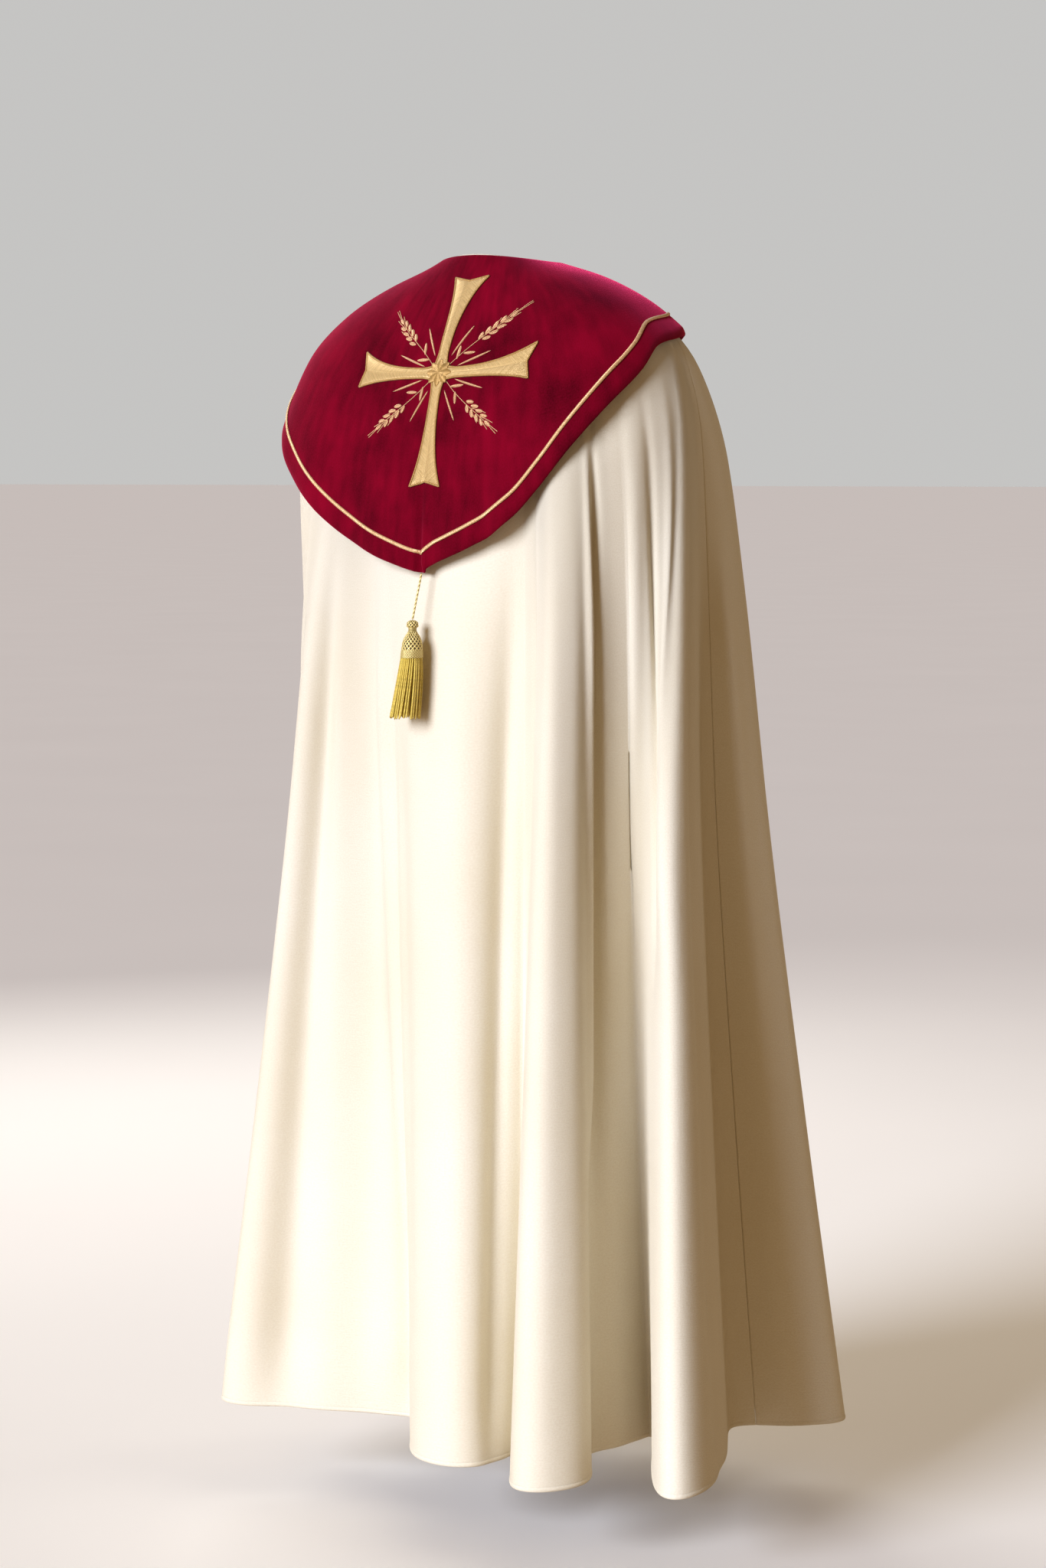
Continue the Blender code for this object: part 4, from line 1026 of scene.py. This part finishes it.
def cross_boss():
    """A padded star over the cross's middle: its radius swells into eight points, its top is a low
    dome with a ridge to each point, its underside is flat. The points that its middle and its closing
    column would repeat are merged."""
    t, a = np.meshgrid(np.linspace(0, 1, 26), np.linspace(0, 2 * math.pi, 129), indexing="ij")
    radius = BOSS_REACH * t * (1 + 0.17 * np.cos(BOSS_POINTS * a) * t)
    dome = np.sqrt(np.clip(1 - t ** 2.4, 0, 1)) * (1 + 0.16 * np.cos(BOSS_POINTS * a) * t)
    x, y = radius * np.cos(a), CROSS_DOWN + radius * np.sin(a)
    top = on_back(x, y, LAID_GAP + CROSS_HIGH + BOSS_LIFT + BOSS_HIGH * dome)
    low = on_back(x, y, BOSS_SEAT + 0 * dome)
    n, m = t.shape
    keep = np.arange(2 * n * m).reshape(2, n, m)
    keep[:, :, -1] = keep[:, :, 0]
    keep[:, 0, :] = keep[:, :1, 0]
    rim = np.arange(m - 1) + (n - 1) * m
    side = np.stack([rim, rim + 1, rim + 1 + n * m, rim + n * m], -1)
    faces = keep.reshape(-1)[np.concatenate([grid_faces(n, m), grid_faces(n, m, flip=True) + n * m, side])]
    used = np.unique(faces)
    faces = [list(dict.fromkeys(face)) for face in np.searchsorted(used, faces).tolist()]
    uv = both_faces(radius, a * 0.010).reshape(-1, 2)[used]
    return piece("boss_of_cross", np.stack([top, low]).reshape(-1, 3)[used], faces, uv, OUTLINE_GOLD, ())


# An ear of corn in each quarter, grain by grain: how far out along its stalk, how far to its side,
# which way it points from the stalk in degrees, its length and its width.
EAR = np.array([
    (0.0330, 0.0056, 44.0, 0.0180, 0.0040),
    (0.0430, -0.0054, -40.0, 0.0160, 0.0038),
    (0.0640, 0.0040, 30.0, 0.0108, 0.0048),
    (0.0676, -0.0040, -30.0, 0.0108, 0.0048),
    (0.0736, 0.0042, 28.0, 0.0108, 0.0048),
    (0.0772, -0.0042, -28.0, 0.0108, 0.0048),
    (0.0832, 0.0040, 26.0, 0.0106, 0.0046),
    (0.0868, -0.0040, -26.0, 0.0106, 0.0046),
    (0.0926, 0.0036, 22.0, 0.0100, 0.0043),
    (0.0960, -0.0036, -22.0, 0.0100, 0.0043),
    (0.1040, 0.0000, 0.0, 0.0108, 0.0046),
])
EAR_TURNS = (41.0, 139.0, 221.0, 319.0)
STALK_START, STALK_STOP, STALK_BOW = 0.0165, 0.1000, 0.0026
STALK_RADIUS, STALK_PITCH, GRAIN_LIFT, GRAIN_HIGH = 0.00055, 0.0022, 0.0006, 0.0011
# The beards of an ear: where each leaves the stalk, and which way it leans from it in degrees
BEARD_LONG = 0.0225
BEARD = ((0.0720, 26.0), (0.0720, -26.0), (0.0880, 16.0), (0.0880, -16.0), (0.1010, 4.0), (0.1010, -6.0))
# Straight rays on both sides of each ear: how far they turn from it, their middle, length and width.
RAYS = np.array([(21.0, 0.0470, 0.0440, 0.0026), (-21.0, 0.0470, 0.0440, 0.0026)])


def around_cross(out, aside, turn):
    """Metres sideways and down on the hood's back of a point along a stalk and to its side."""
    t = math.radians(turn)
    return out * math.cos(t) - aside * math.sin(t), CROSS_DOWN + out * math.sin(t) + aside * math.cos(t)


def ears():
    """The grains of the four ears and the rays beside them: each a low cushion, pointed at both
    ends, with a furrow."""
    u, v = np.meshgrid(np.linspace(-1, 1, 15), np.linspace(-1, 1, 9), indexing="ij")
    body = np.sqrt(np.clip(1 - u ** 2, 0, 1)) ** 1.25
    rise = body * np.sqrt(np.clip(1 - v ** 2, 0, 1)) * (1 - 0.30 * np.exp(-(v / 0.2) ** 2))
    rows = [(turn, *grain) for turn in EAR_TURNS for grain in EAR]
    rows += [(turn + off, out, 0.0, 0.0, length, width)
             for turn in EAR_TURNS for off, out, length, width in RAYS]
    parts = []
    for turn, out, aside, lean, length, width in rows:
        c, w = math.cos(math.radians(lean)), math.sin(math.radians(lean))
        along, across = u * length / 2, v * body * width / 2 + 0.00002 * v
        x, y = around_cross(out + along * c - across * w, aside + along * w + across * c, turn)
        points = np.stack([on_back(x, y, GRAIN_LIFT + GRAIN_HIGH * rise), on_back(x, y, 0 * rise)])
        parts.append((points, shell_faces(*u.shape), both_faces(along + np.abs(across), across)))
    points, faces, uv = joined(parts)
    return piece("ears_of_cross", points, faces, uv, LEAF_GOLD, ())


def stalks():
    """The stalk of each ear, a little bowed, and the thin beards between its grains."""
    t = np.linspace(0, 1, 30)
    ahead = np.linspace(0.0, BEARD_LONG, 14)
    lines = []
    for index, turn in enumerate(EAR_TURNS):
        out = STALK_START + (STALK_STOP - STALK_START) * t
        bow = STALK_BOW * np.sin(math.pi * t) * (-1) ** index
        lines.append((np.stack(around_cross(out, bow * (1 - t), turn), -1), (0.0005, 0.0005)))
        for start, lean in BEARD:
            w = math.radians(lean)
            aside = ahead * math.sin(w) * (1 - 0.25 * ahead / BEARD_LONG)
            hair = around_cross(start + ahead * math.cos(w), aside, turn)
            lines.append((np.stack(hair, -1), (0.0002, 0.0003)))
    return laid_cords("stalks_of_cross", lines, STALK_RADIUS, STALK_PITCH, 8, LEAF_GOLD)


def cross_cord():
    """The cord laid along the cross's outline."""
    outline = cross_outline()
    closed = np.concatenate([outline, outline[:1]]) + [0.0, CROSS_DOWN]
    return laid_cords("outline_of_cross", [(closed, (OUTLINE_LIFT, OUTLINE_LIFT))], OUTLINE_RADIUS,
                      OUTLINE_PITCH, 9, OUTLINE_GOLD)


HOOD_PIECE, HOOD_AREA = hood_face()
HOOD_LAID = [braid(), cross_face(), cross_cord(), cross_boss(), ears(), stalks()]


# The tab at the chest
def chest_tab():
    """The tab over both front edges: on each side it follows the cope moved out, between them it
    spans straight. Returns its middle surface, that surface's normals, and its runs across and down."""
    edge = edge_steps(ROLL) / CLOTH_LONG
    down = np.concatenate([TAB_TOP + edge, np.linspace(TAB_TOP + 0.002, TAB_FOOT - 0.002, 22),
                           (TAB_FOOT - edge)[::-1]])
    across = np.concatenate([TAB_REACH - edge_steps(ROLL), np.linspace(TAB_REACH - 0.004, 0.0, 44)])
    reach, share = np.meshgrid(across, down, indexing="ij")
    left, right = cope(reach, share), cope(LENGTH[-1] - reach[::-1], share)
    n_left = outward(cope, reach + 0.001, share, -0.0008, 0.002)
    n_right = outward(cope, LENGTH[-1] - 0.001 - reach[::-1], share, -0.0008, 0.002)
    bridge = np.linspace(0, 1, 14)[1:-1, None, None]
    span = left[-1][None] * (1 - bridge) + right[0][None] * bridge
    n_span = unit(n_left[-1][None] * (1 - bridge) + n_right[0][None] * bridge)
    middle = np.concatenate([left, span, right])
    n = np.concatenate([n_left, n_span, n_right])
    run = run_down(np.swapaxes(middle, 0, 1)).T
    fall = run_down(middle)
    border = np.minimum(np.minimum(run, run[-1] - run), np.minimum(fall, fall[:, -1:] - fall))
    rim = rounded(border, ROLL)
    sunk = TAB_PRESS * np.exp(-((border - HEM_STITCH) / TAB_PRESS_WIDE) ** 2)
    centre = middle + n * (CLOTH / 2 + TAB_LIFT + TAB_WALL / 2)
    out, inn = (TAB_WALL / 2 * rim - sunk)[..., None], (TAB_WALL / 2 * rim)[..., None]
    points = np.stack([centre + n * out, centre - n * inn])
    item = piece("tab_of_chest", points, shell_faces(*run.shape), both_faces(run, fall, 0.5, 0.3), IVORY,
                 ["chest_tab"])
    return centre, n, run, fall


def tab_stitches(centre, n, run, fall):
    """Stitches in a row inside the tab's border, a step apart along its four sides."""
    wide, long = float(run[-1].mean()), float(fall[:, -1].mean())
    left, top, right, foot = HEM_STITCH, HEM_STITCH, wide - HEM_STITCH, long - HEM_STITCH
    corners = np.array([(left, top), (right, top), (right, foot), (left, foot), (left, top)])
    legs = run_along(corners)
    steps = np.arange(0.001, legs[-1], STITCH_STEP)

    def put(at):
        """Points and normals of the tab at distances along the row, mixed from the grid's four nearest."""
        x, y = (np.interp(at % legs[-1], legs, corners[:, k]) for k in (0, 1))
        i = np.interp(x, run[:, 0] * wide / run[-1, 0], np.arange(len(run)))
        j = np.interp(y, fall[0] * long / fall[0, -1], np.arange(fall.shape[1]))
        i0, j0 = np.clip(i.astype(int), 0, len(run) - 2), np.clip(j.astype(int), 0, fall.shape[1] - 2)
        fi, fj = (i - i0)[:, None], (j - j0)[:, None]
        return [(1 - fi) * (1 - fj) * g[i0, j0] + fi * (1 - fj) * g[i0 + 1, j0]
                + (1 - fi) * fj * g[i0, j0 + 1] + fi * fj * g[i0 + 1, j0 + 1] for g in (centre, n)]

    middle, up = put(steps)
    along = unit(put(steps + STITCH_REACH)[0] - put(steps - STITCH_REACH)[0])
    up = unit(up)
    return lozenges("stitches_of_tab", middle + up * (TAB_WALL / 2 - TAB_STITCH_SUNK), along, up,
                    STITCH_LONG, STITCH_WIDE, STITCH_HIGH, THREAD_IVORY)


tab_stitches(*chest_tab())
